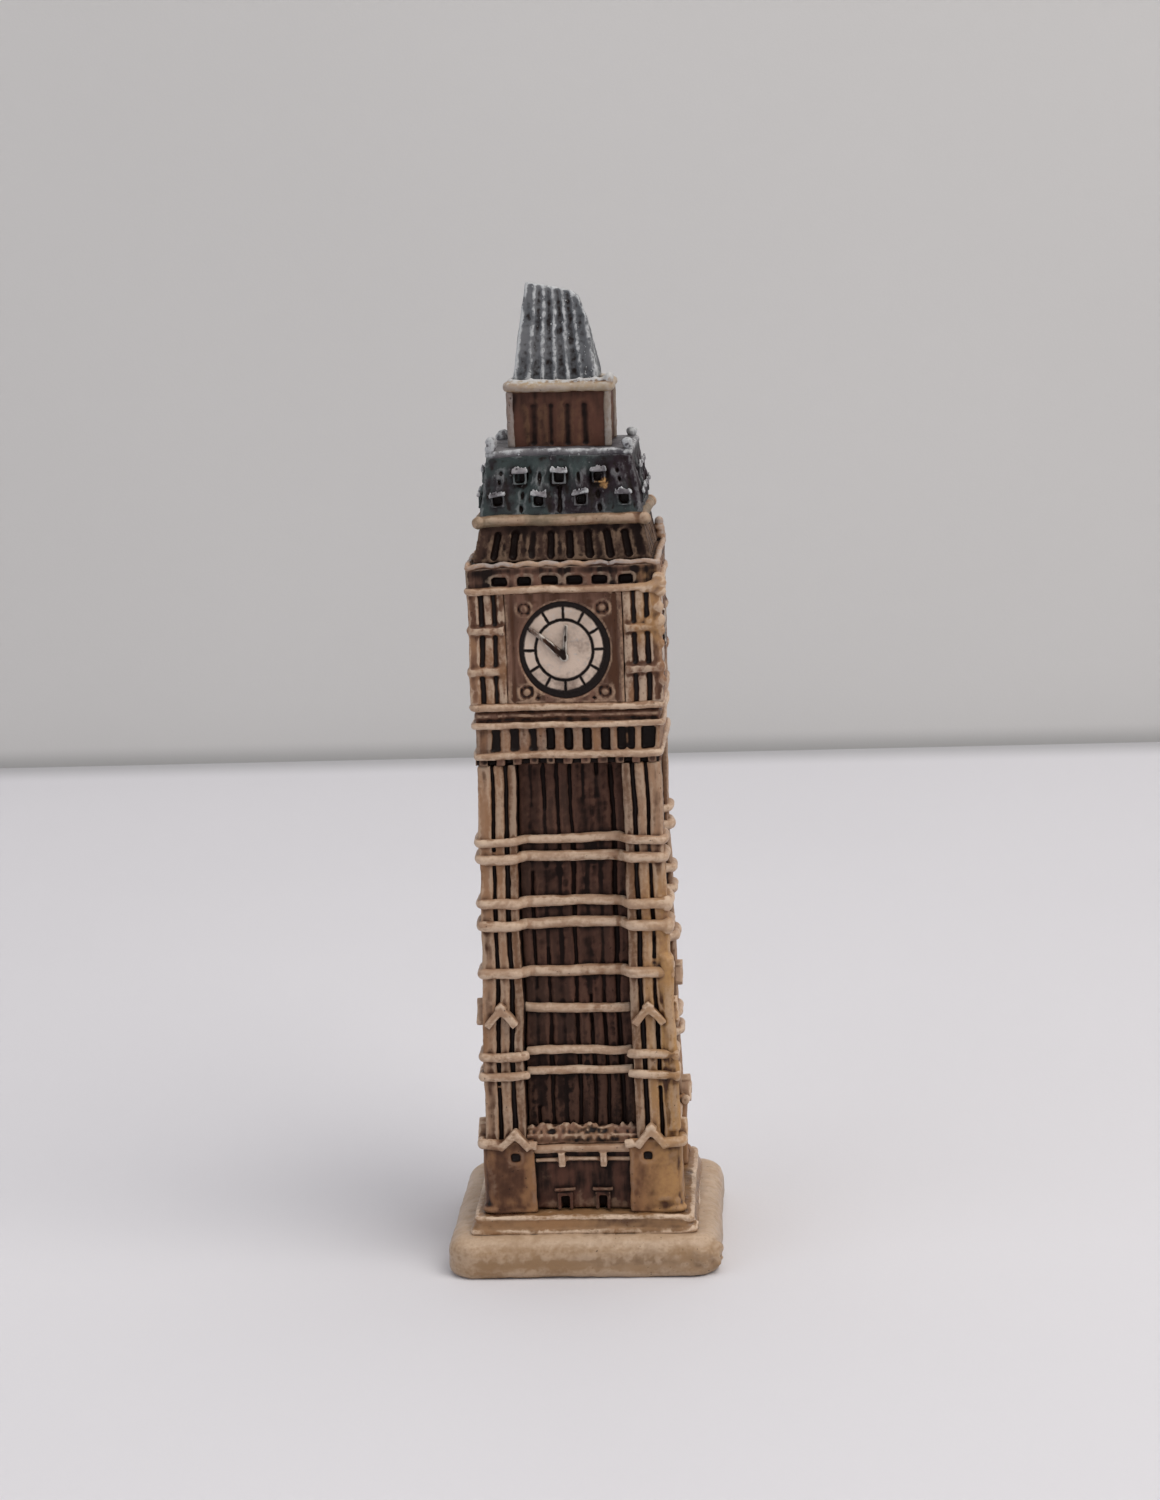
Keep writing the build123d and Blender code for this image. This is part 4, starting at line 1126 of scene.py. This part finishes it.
class TOWER_OT_clock(bpy.types.Operator):
    """Clock stage: corner piers, dial frames, dials and raised hands"""

    bl_idname = "tower.clock"
    bl_label = "Clock stage"
    pier_width = 3.2
    dial_level = 4.45
    roundel = (3.3, 3.55)
    lumps = (
        (0.1, 2.5, 0.5), (0.35, 2.9, 0.6), (0.9, 2.65, 0.5), (0.1, 3.4, 0.45), (0.25, 6.4, 0.5),
        (0.2, 1.4, 0.5), (0.05, 4.5, 0.4), (0.1, 7.6, 0.45),
    )

    def execute(self, context):
        foot, head = heights("clock_core")
        face = reach("dial_frame_front") + 0.03
        inner = face - self.pier_width
        cast(
            ring(face - 0.75, 0.8, (foot, head)), "clock_core", "recess",
            voxel=0.3 * MM, soften=1, pitting=0.5,
        )
        self.piers(foot, head, face, inner)
        for name, angle in SIDES.items():
            self.frame(name, angle, foot, head, inner)
            self.dial(name, angle)
            self.hands(name, angle, foot)
        return {"FINISHED"}

    def piers(self, foot, head, face, inner):
        """Two ribs and a corner post at each corner, tied by two bars that wrap the corner."""
        backing = face - 0.38
        up = (foot - 0.1, head + 0.1)
        parts = [block((inner, backing), (-backing, -inner), up)]
        for start, end in ((inner + 0.1, inner + 0.75), (inner + 1.2, inner + 1.85)):
            along = (start + dice.uniform(-0.06, 0.06), end + dice.uniform(-0.06, 0.06))
            out = (-face + dice.uniform(0.02, 0.14), -backing + 0.2)
            parts.append(block(along, out, up))
            parts.append(block((-out[1], -out[0]), (-along[1], -along[0]), up))
        parts.append(block((inner + 2.3, face), (-face, -inner - 2.3), up))
        for level in (2.7, 6.25):
            z = foot + level
            bar = [(inner + 0.3, -face + 0.18, z), (face - 0.3, -face + 0.15, z)]
            bar += [(face - 0.15, -face + 0.3, z), (face - 0.18, -inner - 0.3, z)]
            parts.append(rod(bar, 0.38))
        piers = all_round(parts)
        for x, z, radius in self.lumps:
            piers.append(ball((face - x, -face + 0.15, head - z), radius, (1.0, 0.7, 1.1)))
        cast(piers, "clock_piers", "clock_pier", voxel=0.14 * MM, soften=1, sunk=(face, face))

    def frame(self, name, angle, foot, head, inner):
        """Square panel with an oval opening, corner roundels and two upright grooves."""
        sizes = bpy.context.scene.tower_sizes
        node = f"dial_frame_{name}"
        depth = reach(node)
        middle = foot + self.dial_level
        round_x, round_z = self.roundel
        wide = sizes.dial_width / MM
        panel = block((-inner, inner), (-depth, -7.0), (foot - 0.1, head + 0.1))
        tools = [disc((0, -depth - 1, middle), wide, 2.9, 96, sizes.dial_height / sizes.dial_width)]
        for side in (-1, 1):
            x = side * (inner - 0.6)
            tools.append(strip(x, 0.13, (-depth - 1, -depth + 0.35), (foot - 1, head + 1)))
            for up in (-1, 1):
                tools.append(disc((side * round_x, -depth - 0.8, middle + up * round_z), 0.58, 2.2, 24))
                tools.append(disc((side * 2.35, -depth - 0.9, middle + up * 4.1), 0.5, 2.3, 3, 0.45))
        cut(panel, tools)
        parts = [panel]
        for side in (-1, 1):
            for up in (-1, 1):
                knob = (side * round_x, -depth + 0.3, middle + up * round_z)
                parts.append(ball(knob, 0.4, (1, 0.85, 1)))
        cast(
            turn(parts, angle), node, "rose",
            voxel=0.125 * MM, soften=0, pitting=0.4, sway=0.6, sunk=(depth, depth),
        )

    def dial(self, name, angle):
        """Oval dial: a middle disc, a ring, a band cut by the hour lines, and a sunk rim."""
        sizes = bpy.context.scene.tower_sizes
        node = f"dial_{name}"
        middle = sum(heights(node)) / 2
        front = reach(node)
        sectors = sizes.dial_lines * 10
        inner = sizes.ring_radius / MM
        rim = sizes.rim_radius / MM
        radius = inner - 0.06
        bpy.ops.mesh.primitive_circle_add(
            vertices=sectors, radius=radius * MM, fill_type="NGON", rotation=(math.pi / 2, 0, 0)
        )
        plate = settle()
        lean(plate, math.pi / sectors)
        move(plate, (0, -front, middle))
        centre = (0, -front * MM, middle * MM)
        mode("EDIT")
        bpy.ops.mesh.select_all(action="SELECT")
        bpy.ops.mesh.select_mode(type="EDGE")
        bpy.ops.mesh.region_to_loop()
        for target in (inner + 0.06, rim - 0.03, rim + 0.03, sizes.dial_width / MM + 0.08):
            bpy.ops.mesh.extrude_edges_move()
            bpy.ops.transform.resize(value=(target / radius, 1, target / radius), center_override=centre)
            radius = target
        mode("OBJECT")
        sunk = set()
        pitch = 360 / sizes.dial_lines
        for face in plate.data.polygons:
            place = (face.center - Vector(centre)) / MM
            out = math.hypot(place.x, place.z)
            off_line = (math.degrees(math.atan2(place.z, place.x)) + pitch / 2) % pitch - pitch / 2
            on_ring = abs(out - inner) < 0.05
            on_line = out > inner and abs(off_line) < 180 / sectors
            if on_ring or out > rim or on_line:
                sunk.add(face.index)
        mode("EDIT")
        bpy.ops.mesh.select_mode(type="FACE")
        bpy.ops.mesh.select_all(action="DESELECT")
        mode("OBJECT")
        for index in sunk:
            plate.data.polygons[index].select = True
        mode("EDIT")
        bpy.ops.mesh.extrude_region_move(TRANSFORM_OT_translate={"value": (0, 0.14 * MM, 0)})
        bpy.ops.mesh.select_all(action="SELECT")
        oval = sizes.dial_height / sizes.dial_width
        bpy.ops.transform.resize(value=(1, 1, oval), center_override=centre)
        bpy.ops.mesh.extrude_region_move(TRANSFORM_OT_translate={"value": (0, 0.5 * MM, 0)})
        bpy.ops.mesh.select_all(action="SELECT")
        bpy.ops.mesh.normals_make_consistent(inside=False)
        mode("OBJECT")
        plate.data.transform(Matrix.Rotation(math.radians(angle), 4, "Z"))
        only(plate)
        shift_by(plate, clouds("sway", sizes.sway_size, "COLOR"), sizes.sway * 0.6, "RGB_TO_XYZ")
        bpy.ops.object.shade_smooth_by_angle(angle=math.radians(35))
        hand_over(plate, node, "dial")

    def hands(self, name, angle, foot):
        """Hub and two tapered hands, cast in one with the dial but standing proud of it."""
        node = f"clock_hands_{name}"
        depth = reach(node)
        hub = foot + self.dial_level - 0.6
        parts = [disc((0, -depth + 0.2, hub), 0.4, 0.5, 8)]
        for tip_x, tip_z, width, fine in ((-2.9, 2.5, 0.7, 0.5), (0.25, 2.75, 0.42, 0.7)):
            long = math.hypot(tip_x, tip_z)
            hand = block((-width / 2, width / 2), (-0.2, 0.2), (-0.2, long))
            taper(hand, 0, long, fine)
            lean(hand, math.atan2(tip_x, tip_z))
            move(hand, (0, -depth + 0.15, hub))
            parts.append(hand)
        cast(
            turn(parts, angle), node, "hand",
            voxel=0.1 * MM, soften=0, pitting=0.2, sway=0.6, sunk=(depth, depth),
        )


class TOWER_OT_parapet(bpy.types.Operator):
    """Cornice, pierced parapet with its scalloped rail, and the belfry"""

    bl_idname = "tower.parapet"
    bl_label = "Parapet and belfry"
    cornice_lumps = (
        (0.9, 0.3, 0.62), (0.3, 0.6, 0.6), (1.5, 0.25, 0.5), (0.2, -0.1, 0.5), (0.35, 1.1, 0.5),
    )
    belfry_head = 6.9

    def execute(self, context):
        parts = square_rod("clock_cornice")
        foot, head, half = extent("clock_cornice")
        for x, z, radius in self.cornice_lumps:
            parts.append(ball((half - x, -half + 0.3, foot + z), radius, (1.1, 0.6, 0.9)))
        cast(parts, "clock_cornice", "course")
        rows = {angle: openings(6, 2.1, 1.28) for angle in SIDES.values()}
        pierced("parapet", rows, 0.7, 0.75, "parapet")

        foot, head, half = extent("parapet_rail")
        line = half - 0.25
        side = []
        for index in range(64):
            x = -line + 2 * line * index / 64
            side.append((x, -line, foot + 0.22 + 0.2 * abs(math.sin(math.pi * x / 1.95))))
        parts = [rod(path_round(side), 0.24, True, 0.02, 1.0)] + ring(line, 1.3, (foot - 0.2, head - 0.35))
        for angle in (90, 180):
            parts += self.corner_lumps(half, head, angle)
        cast(parts, "parapet_rail", "rail_cream", soften=1, pitting=0.8)

        rows = {angle: openings(8, 1.62, 0.66, (2,)) for angle in SIDES.values()}
        pierced("belfry", rows, 0.45, 2.3, "belfry", head_scale=self.belfry_head / reach("belfry"))

        parts = square_rod("belfry_band")
        foot, head, half = extent("belfry_band")
        for angle in SIDES.values():
            parts += turn([ball((half - 0.35, -half + 0.35, (foot + head) / 2), 0.58)], angle)
        cast(parts, "belfry_band", "band")
        return {"FINISHED"}

    @staticmethod
    def corner_lumps(half, head, angle):
        """Worn stump of a corner pinnacle."""
        lumps = []
        for rise, radius in ((0.1, 0.7), (0.7, 0.6), (1.3, 0.48)):
            x = half - 0.65 + dice.uniform(-0.15, 0.15)
            lump = ball((x, -half + 0.65, head + rise), radius, (0.9, 0.9, 1.0))
            lumps += turn([lump], angle)
        return lumps


class TOWER_OT_roof(bpy.types.Operator):
    """Slate roof with its two rows of dormers, rail and corner knobs"""

    bl_idname = "tower.roof"
    bl_label = "Roof"
    head_half = 6.2
    dormer_rows = ((0.6, (-5.3, -1.78, 1.78, 5.3)), (2.5, (-3.35, 0.0, 3.35)))
    knob_rises = {0: (0.1, 0.5), 90: (0.1, 0.35), 180: (0.1, 0.4), 270: (0.1, 0.45, 0.7)}

    def execute(self, context):
        foot, head = heights("roof")
        wide = reach("roof")
        narrow = self.head_half
        rows = self.dormer_rows
        self.slope(foot, head, wide, narrow, rows)
        frames = []
        caps = []
        for rise, centres in rows:
            wall = wide - (wide - narrow) * rise / (head - foot)
            for x in centres:
                self.dormer(x, wall, foot + rise, frames, caps)
        cast(
            all_round(frames), "dormers", "slate",
            voxel=0.11 * MM, soften=0, pitting=0.6, sunk=(wide + 0.3, narrow + 0.3),
            name="dormer_frames",
        )
        cast(
            all_round(caps), "dormers", "frost",
            voxel=0.1 * MM, soften=0, pitting=0.8, name="dormer_caps",
        )
        cast(square_rod("roof_rail", thick=2.6), "roof_rail", "rail")
        foot, head = heights("roof_knobs")
        half = reach("roof_knobs") - 0.6
        knobs = []
        for angle, rises in self.knob_rises.items():
            for rise in rises:
                place = (half + dice.uniform(-0.2, 0.2), -half + dice.uniform(-0.2, 0.2), foot + rise)
                knob = ball(place, dice.uniform(0.38, 0.52), (1.15, 1.1, 0.8))
                knobs += turn([knob], angle)
        cast(knobs, "roof_knobs", "rail", pitting=1.6)
        return {"FINISHED"}

    def slope(self, foot, head, wide, narrow, rows):
        """Four steep slopes of upright slates, with dark joints above and below the dormers."""
        roof = pad(wide, (foot - 0.2, head + 0.2))
        cut(roof, [pad(wide - 2.6, (foot - 1, head + 1))])
        tools = []
        for x in rows[1][1]:
            tools.append(strip(x, 0.16, (-wide - 1, -wide + 0.45), (foot, foot + 2.4)))
        for rise, centres in rows:
            wall = wide - (wide - narrow) * rise / (head - foot)
            for x in centres:
                window = (foot + rise + 0.12, foot + rise + 0.95)
                tools.append(strip(x, 0.42, (-wide - 1, -wall + 0.5), window))
        for x in (-1.7, 1.7, 5.2, -5.2):
            tools.append(strip(x, 0.15, (-wide - 1, -wide + 0.45), (foot + 2.3, head - 0.1)))
        for x in (-6.2, -4.4, -2.5, -0.9, 0.9, 2.5, 4.4, 6.2):
            tools.append(strip(x, 0.09, (-wide - 1, -wide + 0.22), (foot, head - 0.1)))
        cut(roof, all_round(tools))
        taper(roof, foot, head, narrow / wide)
        cast([roof], "roof", "slate", voxel=0.15 * MM, soften=1, pitting=1.6, sunk=(wide, narrow))

    def dormer(self, x, wall, base, frames, caps):
        """One dormer: a window in a shallow frame, and a ragged cap."""
        box = strip(x, 0.58, (-wall - 0.25, -wall + 0.8), (base, base + 1.1))
        hole = strip(x, 0.42, (-wall - 1, -wall + 0.45), (base + 0.12, base + 0.95))
        frames.append(cut(box, [hole]))
        tilt = dice.uniform(-0.1, 0.1)
        bar = [(x - 0.72, -wall - 0.22, base + 1.1 - tilt), (x + 0.72, -wall - 0.22, base + 1.1 + tilt)]
        caps.append(rod(bar, 0.17, False, 0.04, 0.4))
        for side in (-0.6, -0.35, -0.1, 0.15, 0.4, 0.62):
            along = x + side + dice.uniform(-0.06, 0.06)
            up = base + 1.28 + dice.uniform(-0.05, 0.1)
            caps.append(ball((along, -wall - 0.22, up), dice.uniform(0.08, 0.13), (0.8, 1, 2.0)))


class TOWER_OT_lantern(bpy.types.Operator):
    """Lantern with cream posts, its cornice and the stub of the broken spire"""

    bl_idname = "tower.lantern"
    bl_label = "Lantern and spire"

    def execute(self, context):
        rows = {angle: openings(4, 1.45, 0.62) for angle in SIDES.values()}
        pierced("lantern", rows, 0.24, 3.7, "lantern", soften=2, sway=0.6)
        foot, head, half = extent("lantern_posts")
        post = block((half - 0.58, half), (-half, -half + 0.58), (foot - 0.1, head + 0.1))
        cast(all_round([post]), "lantern_posts", "post", pitting=1.4, sway=0.6)

        foot, head, half = extent("lantern_cornice")
        parts = [rod(square(half - 0.4, foot + 0.42), 0.4, True, 0.03)]
        parts += ring(half - 0.42, 1.6, (foot, head - 0.4))
        parts.append(rod(square(half - 0.75, head - 0.42), 0.26, True, 0.06))
        for _ in range(40):
            along = dice.uniform(-half + 0.5, half - 0.5)
            bead = ball((along, -half + 0.7, head - 0.2), dice.uniform(0.12, 0.24), (1.2, 1, 0.9))
            parts += turn([bead], dice.choice((0, 90, 180, 270)))
        parts.append(ball((half - 0.45, -half + 0.5, head - 0.1), 0.42, (1, 1, 1.3)))
        cast(parts, "lantern_cornice", "cornice_with_highlight", pitting=1.4)
        self.spire()
        return {"FINISHED"}

    def spire(self):
        """Fluted pyramid with a slanting, ragged break."""
        foot, head = heights("spire_stub")
        wide = reach("spire_stub")
        tall = head - foot
        up = (foot - 0.3, head + 1)
        parts = [pad(wide - 0.22, up)]
        for index in range(7):
            x = (index - 3) * (2 * wide - 0.5) / 6
            parts += all_round([strip(x, 0.15, (-wide, -wide + 1), up)])
        for part in parts:
            taper(part, foot, head, 1 - 0.17 * tall / wide)
            move(part, (-0.25, 0, 0))
        stub = fused(parts, 0.14 * MM)
        outline = ((-2.75, 7.7), (-0.6, 7.5), (0.9, 7.15), (1.8, 6.4), (2.35, 5.2), (2.8, 3.2), (3.15, 0.8))
        for (x0, z0), (x1, z1) in zip(outline, outline[1:]):
            slice_off(stub, (x0, 0, foot + z0), (z0 - z1, 0.12, x1 - x0))
        cast([stub], "spire_stub", "spire", voxel=0.112 * MM, soften=1, pitting=1.2)


def read(rows, key, width, kind=float):
    """Numbers of a mesh's points or edges, one row each."""
    values = np.empty(len(rows) * width, kind)
    rows.foreach_get(key, values)
    return values.reshape(-1, width)


class TOWER_OT_wash_and_shade(bpy.types.Operator):
    """Work out the darkening: dark wash in hollows, wash with painted shade where two members meet, and
    painted shade deep behind a piece's open face
    """

    bl_idname = "tower.wash"
    bl_label = "Wash"

    def execute(self, context):
        near = context.scene.tower_sizes.wash_and_shade_reach
        pieces = [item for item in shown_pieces() if item.type == "MESH" and item.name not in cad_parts]
        points = {}
        boxes = {}
        trees = {}
        for piece in pieces:
            places = read(piece.data.vertices, "co", 3)
            points[piece.name] = places
            boxes[piece.name] = (places.min(0) - near, places.max(0) + near)
            faces = [tuple(face.vertices) for face in piece.data.polygons]
            trees[piece.name] = BVHTree.FromPolygons(places.tolist(), faces)
        for piece in pieces:
            places = points[piece.name]
            low, high = boxes[piece.name]
            # Darkening near other members: wash that gathers in the joint, together with painted shade.
            joint_wash_and_shade = np.zeros(len(places))
            for name, (low2, high2) in boxes.items():
                if name == piece.name or (low2 >= high).any() or (high2 <= low).any():
                    continue
                inside = np.nonzero((places > low2).all(1) & (places < high2).all(1))[0]
                for index in inside.tolist():
                    found = trees[name].find_nearest(places[index].tolist(), near)
                    if found[0] is not None:
                        joint_wash_and_shade[index] = max(joint_wash_and_shade[index], 1 - found[3] / near)
            hollow = self.hollows(piece.data)
            # The wash attribute: wash in hollows, plus painted shade at joints and deep behind the open
            # face.
            wash = np.clip(0.5 + hollow + joint_wash_and_shade * 0.2 + self.painted_depth_shade(piece.name, places), 0, 1)
            store = piece.data.attributes.new("wash", "FLOAT", "POINT")
            store.data.foreach_set("value", wash.astype(np.float32))
        return {"FINISHED"}

    @staticmethod
    def painted_depth_shade(name, places):
        """Painted shade: how far each point lies behind the piece's open face, up to 0.4 at half a
        millimetre.
        """
        if name not in SUNK:
            return 0
        foot, head, low, high = SUNK[name]
        share = np.clip((places[:, 2] / MM - foot) / (head - foot), 0, 1)
        deep = low + (high - low) * share - np.abs(places[:, :2]).max(1) / MM
        return np.clip((deep - 0.16) / 0.34, 0, 1) * 0.4

    @staticmethod
    def hollows(mesh, rounds=10, depth=0.12 * MM):
        """How far each point lies below the smoothed surface, from -0.5 on ridges to 0.5 in grooves."""
        count = len(mesh.vertices)
        places = read(mesh.vertices, "co", 3)
        normals = read(mesh.vertices, "normal", 3)
        first, second = read(mesh.edges, "vertices", 2, np.int64).T
        links = np.bincount(first, minlength=count) + np.bincount(second, minlength=count)
        links = np.maximum(links, 1)
        soft = places.copy()
        for _ in range(rounds):
            total = np.empty_like(soft)
            for axis in range(3):
                total[:, axis] = np.bincount(first, soft[second, axis], count)
                total[:, axis] += np.bincount(second, soft[first, axis], count)
            soft = soft * 0.3 + total / links[:, None] * 0.7
        sunk = ((soft - places) * normals).sum(1)
        return np.clip(sunk / depth, -1, 1) * 0.5


class TOWER_OT_stage(bpy.types.Operator):
    """Pale floor, light grey backdrop, soft lights and the camera"""

    bl_idname = "tower.stage"
    bl_label = "Stage"

    def execute(self, context):
        paper = self.surface("floor_paper", (0.72, 0.71, 0.745), (0.67, 0.66, 0.695), 1)
        self.sheet("floor", paper, (0, -0.082, 0), (2.4, 0.629, 1))
        paper = self.surface("backdrop_paper", (0.62, 0.61, 0.605), (0.57, 0.56, 0.555), 2)
        self.sheet("backdrop", paper, (0, 0.2325, 0.5), (2.4, 0.994, 1), (math.pi / 2, 0, 0))

        world = bpy.data.worlds.new("soft_room")
        context.scene.world = world
        world.use_nodes = True
        light = world.node_tree.nodes["Background"]
        light.inputs["Color"].default_value = (0.90, 0.91, 0.95, 1)
        light.inputs["Strength"].default_value = 0.32
        self.lamp("key", (0.42, -0.30, 0.62), 0.6, 3.9, (1.0, 0.96, 0.90))
        self.lamp("fill", (-0.55, -0.45, 0.45), 0.8, 1.5, (0.96, 0.97, 1.0))
        self.lamp("top", (0.1, 0.0, 0.9), 0.7, 2.2, (1.0, 0.99, 0.97))

        lens = bpy.data.cameras.new("camera")
        camera = bpy.data.objects.new("camera", lens)
        context.collection.objects.link(camera)
        yaw, pitch, roll = -0.066, 0.184, -0.035
        ahead = Vector((math.sin(yaw) * math.cos(pitch), math.cos(yaw) * math.cos(pitch), -math.sin(pitch)))
        right = Vector((math.cos(yaw), -math.sin(yaw), 0))
        above = right.cross(ahead)
        side = right * math.cos(roll) + above * math.sin(roll)
        top = above * math.cos(roll) - right * math.sin(roll)
        aim = Matrix((side, top, -ahead)).transposed().to_4x4()
        camera.matrix_world = Matrix.Translation((0.01761, -0.25886, 0.0925)) @ aim
        lens.sensor_fit = "VERTICAL"
        sensor, frame_height, focal = 36.0, 1500, 3021.47
        lens.sensor_height = sensor
        lens.lens = sensor * focal / frame_height
        lens.clip_start = 0.01
        context.scene.camera = camera
        context.scene.view_settings.view_transform = "Standard"
        return {"FINISHED"}

    @staticmethod
    def sheet(name, paper, place, size, angle=(0, 0, 0)):
        """Flat sheet of the surroundings, in metres."""
        bpy.ops.mesh.primitive_plane_add(size=1, location=place, rotation=angle, scale=size)
        held = settle()
        held.name = name
        held.data.materials.append(paper)
        held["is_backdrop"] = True

    @staticmethod
    def surface(name, first, second, across):
        """Matt paper with a faint mottle, and painted shadow along its seam with the other sheet, which
        lies across this axis.
        """
        paint = Paint(name)
        tone = paint.mix(paint.noise(0.12, 2.0), first, second)
        # Painted shadow along the seam where floor and backdrop meet.
        seam_shadow = paint.axis(2).ramp(3.5, 0.0) if across == 2 else paint.axis(1).ramp(219.0, 232.5)
        tone = paint.mix(seam_shadow * 0.45, tone, (0.2, 0.2, 0.2))
        fleck = paint.noise(0.4 * MM, 1.0)
        return paint.finish(tone, fleck * 0.1 + 0.6, fleck, 0.01 * MM)

    @staticmethod
    def lamp(name, place, size, power, tint):
        """Square soft light that points at the tower."""
        light = bpy.data.lights.new(name, "AREA")
        light.shape = "SQUARE"
        light.size = size
        light.energy = power
        light.color = tint
        held = bpy.data.objects.new(name, light)
        bpy.context.collection.objects.link(held)
        held.location = place
        aim = Vector((0, 0, 0.04)) - Vector(place)
        held.rotation_euler = aim.to_track_quat("-Z", "Y").to_euler()


STEPS = (
    "paints", "plinth", "ground", "shaft", "gallery", "clock", "parapet", "roof", "lantern", "wash",
    "stage",
)


class TOWER_PT_panel(bpy.types.Panel):
    """Buttons for every step"""

    bl_idname = "TOWER_PT_panel"
    bl_label = "Clock tower"
    bl_space_type = "VIEW_3D"
    bl_region_type = "UI"
    bl_category = "Clock tower"

    def draw(self, context):
        for group in (context.scene.tower_sizes, context.scene.tower_colours):
            for name in group.bl_rna.properties.keys():
                if name not in ("rna_type", "name"):
                    self.layout.prop(group, name)
        for step in STEPS:
            self.layout.operator(f"tower.{step}")


CLASSES = (
    TowerSizes,
    TowerColours,
    TOWER_OT_paints,
    TOWER_OT_plinth,
    TOWER_OT_ground,
    TOWER_OT_shaft,
    TOWER_OT_gallery,
    TOWER_OT_clock,
    TOWER_OT_parapet,
    TOWER_OT_roof,
    TOWER_OT_lantern,
    TOWER_OT_wash_and_shade,
    TOWER_OT_stage,
    TOWER_PT_panel,
)


def register():
    for item in CLASSES:
        bpy.utils.register_class(item)
    bpy.types.Scene.tower_sizes = PointerProperty(type=TowerSizes)
    bpy.types.Scene.tower_colours = PointerProperty(type=TowerColours)


def unregister():
    del bpy.types.Scene.tower_colours
    del bpy.types.Scene.tower_sizes
    for item in reversed(CLASSES):
        bpy.utils.unregister_class(item)


def main():
    """Build the tower and its stage."""
    register()
    for step in STEPS:
        getattr(bpy.ops.tower, step)()


if __name__ == "__main__":
    main()
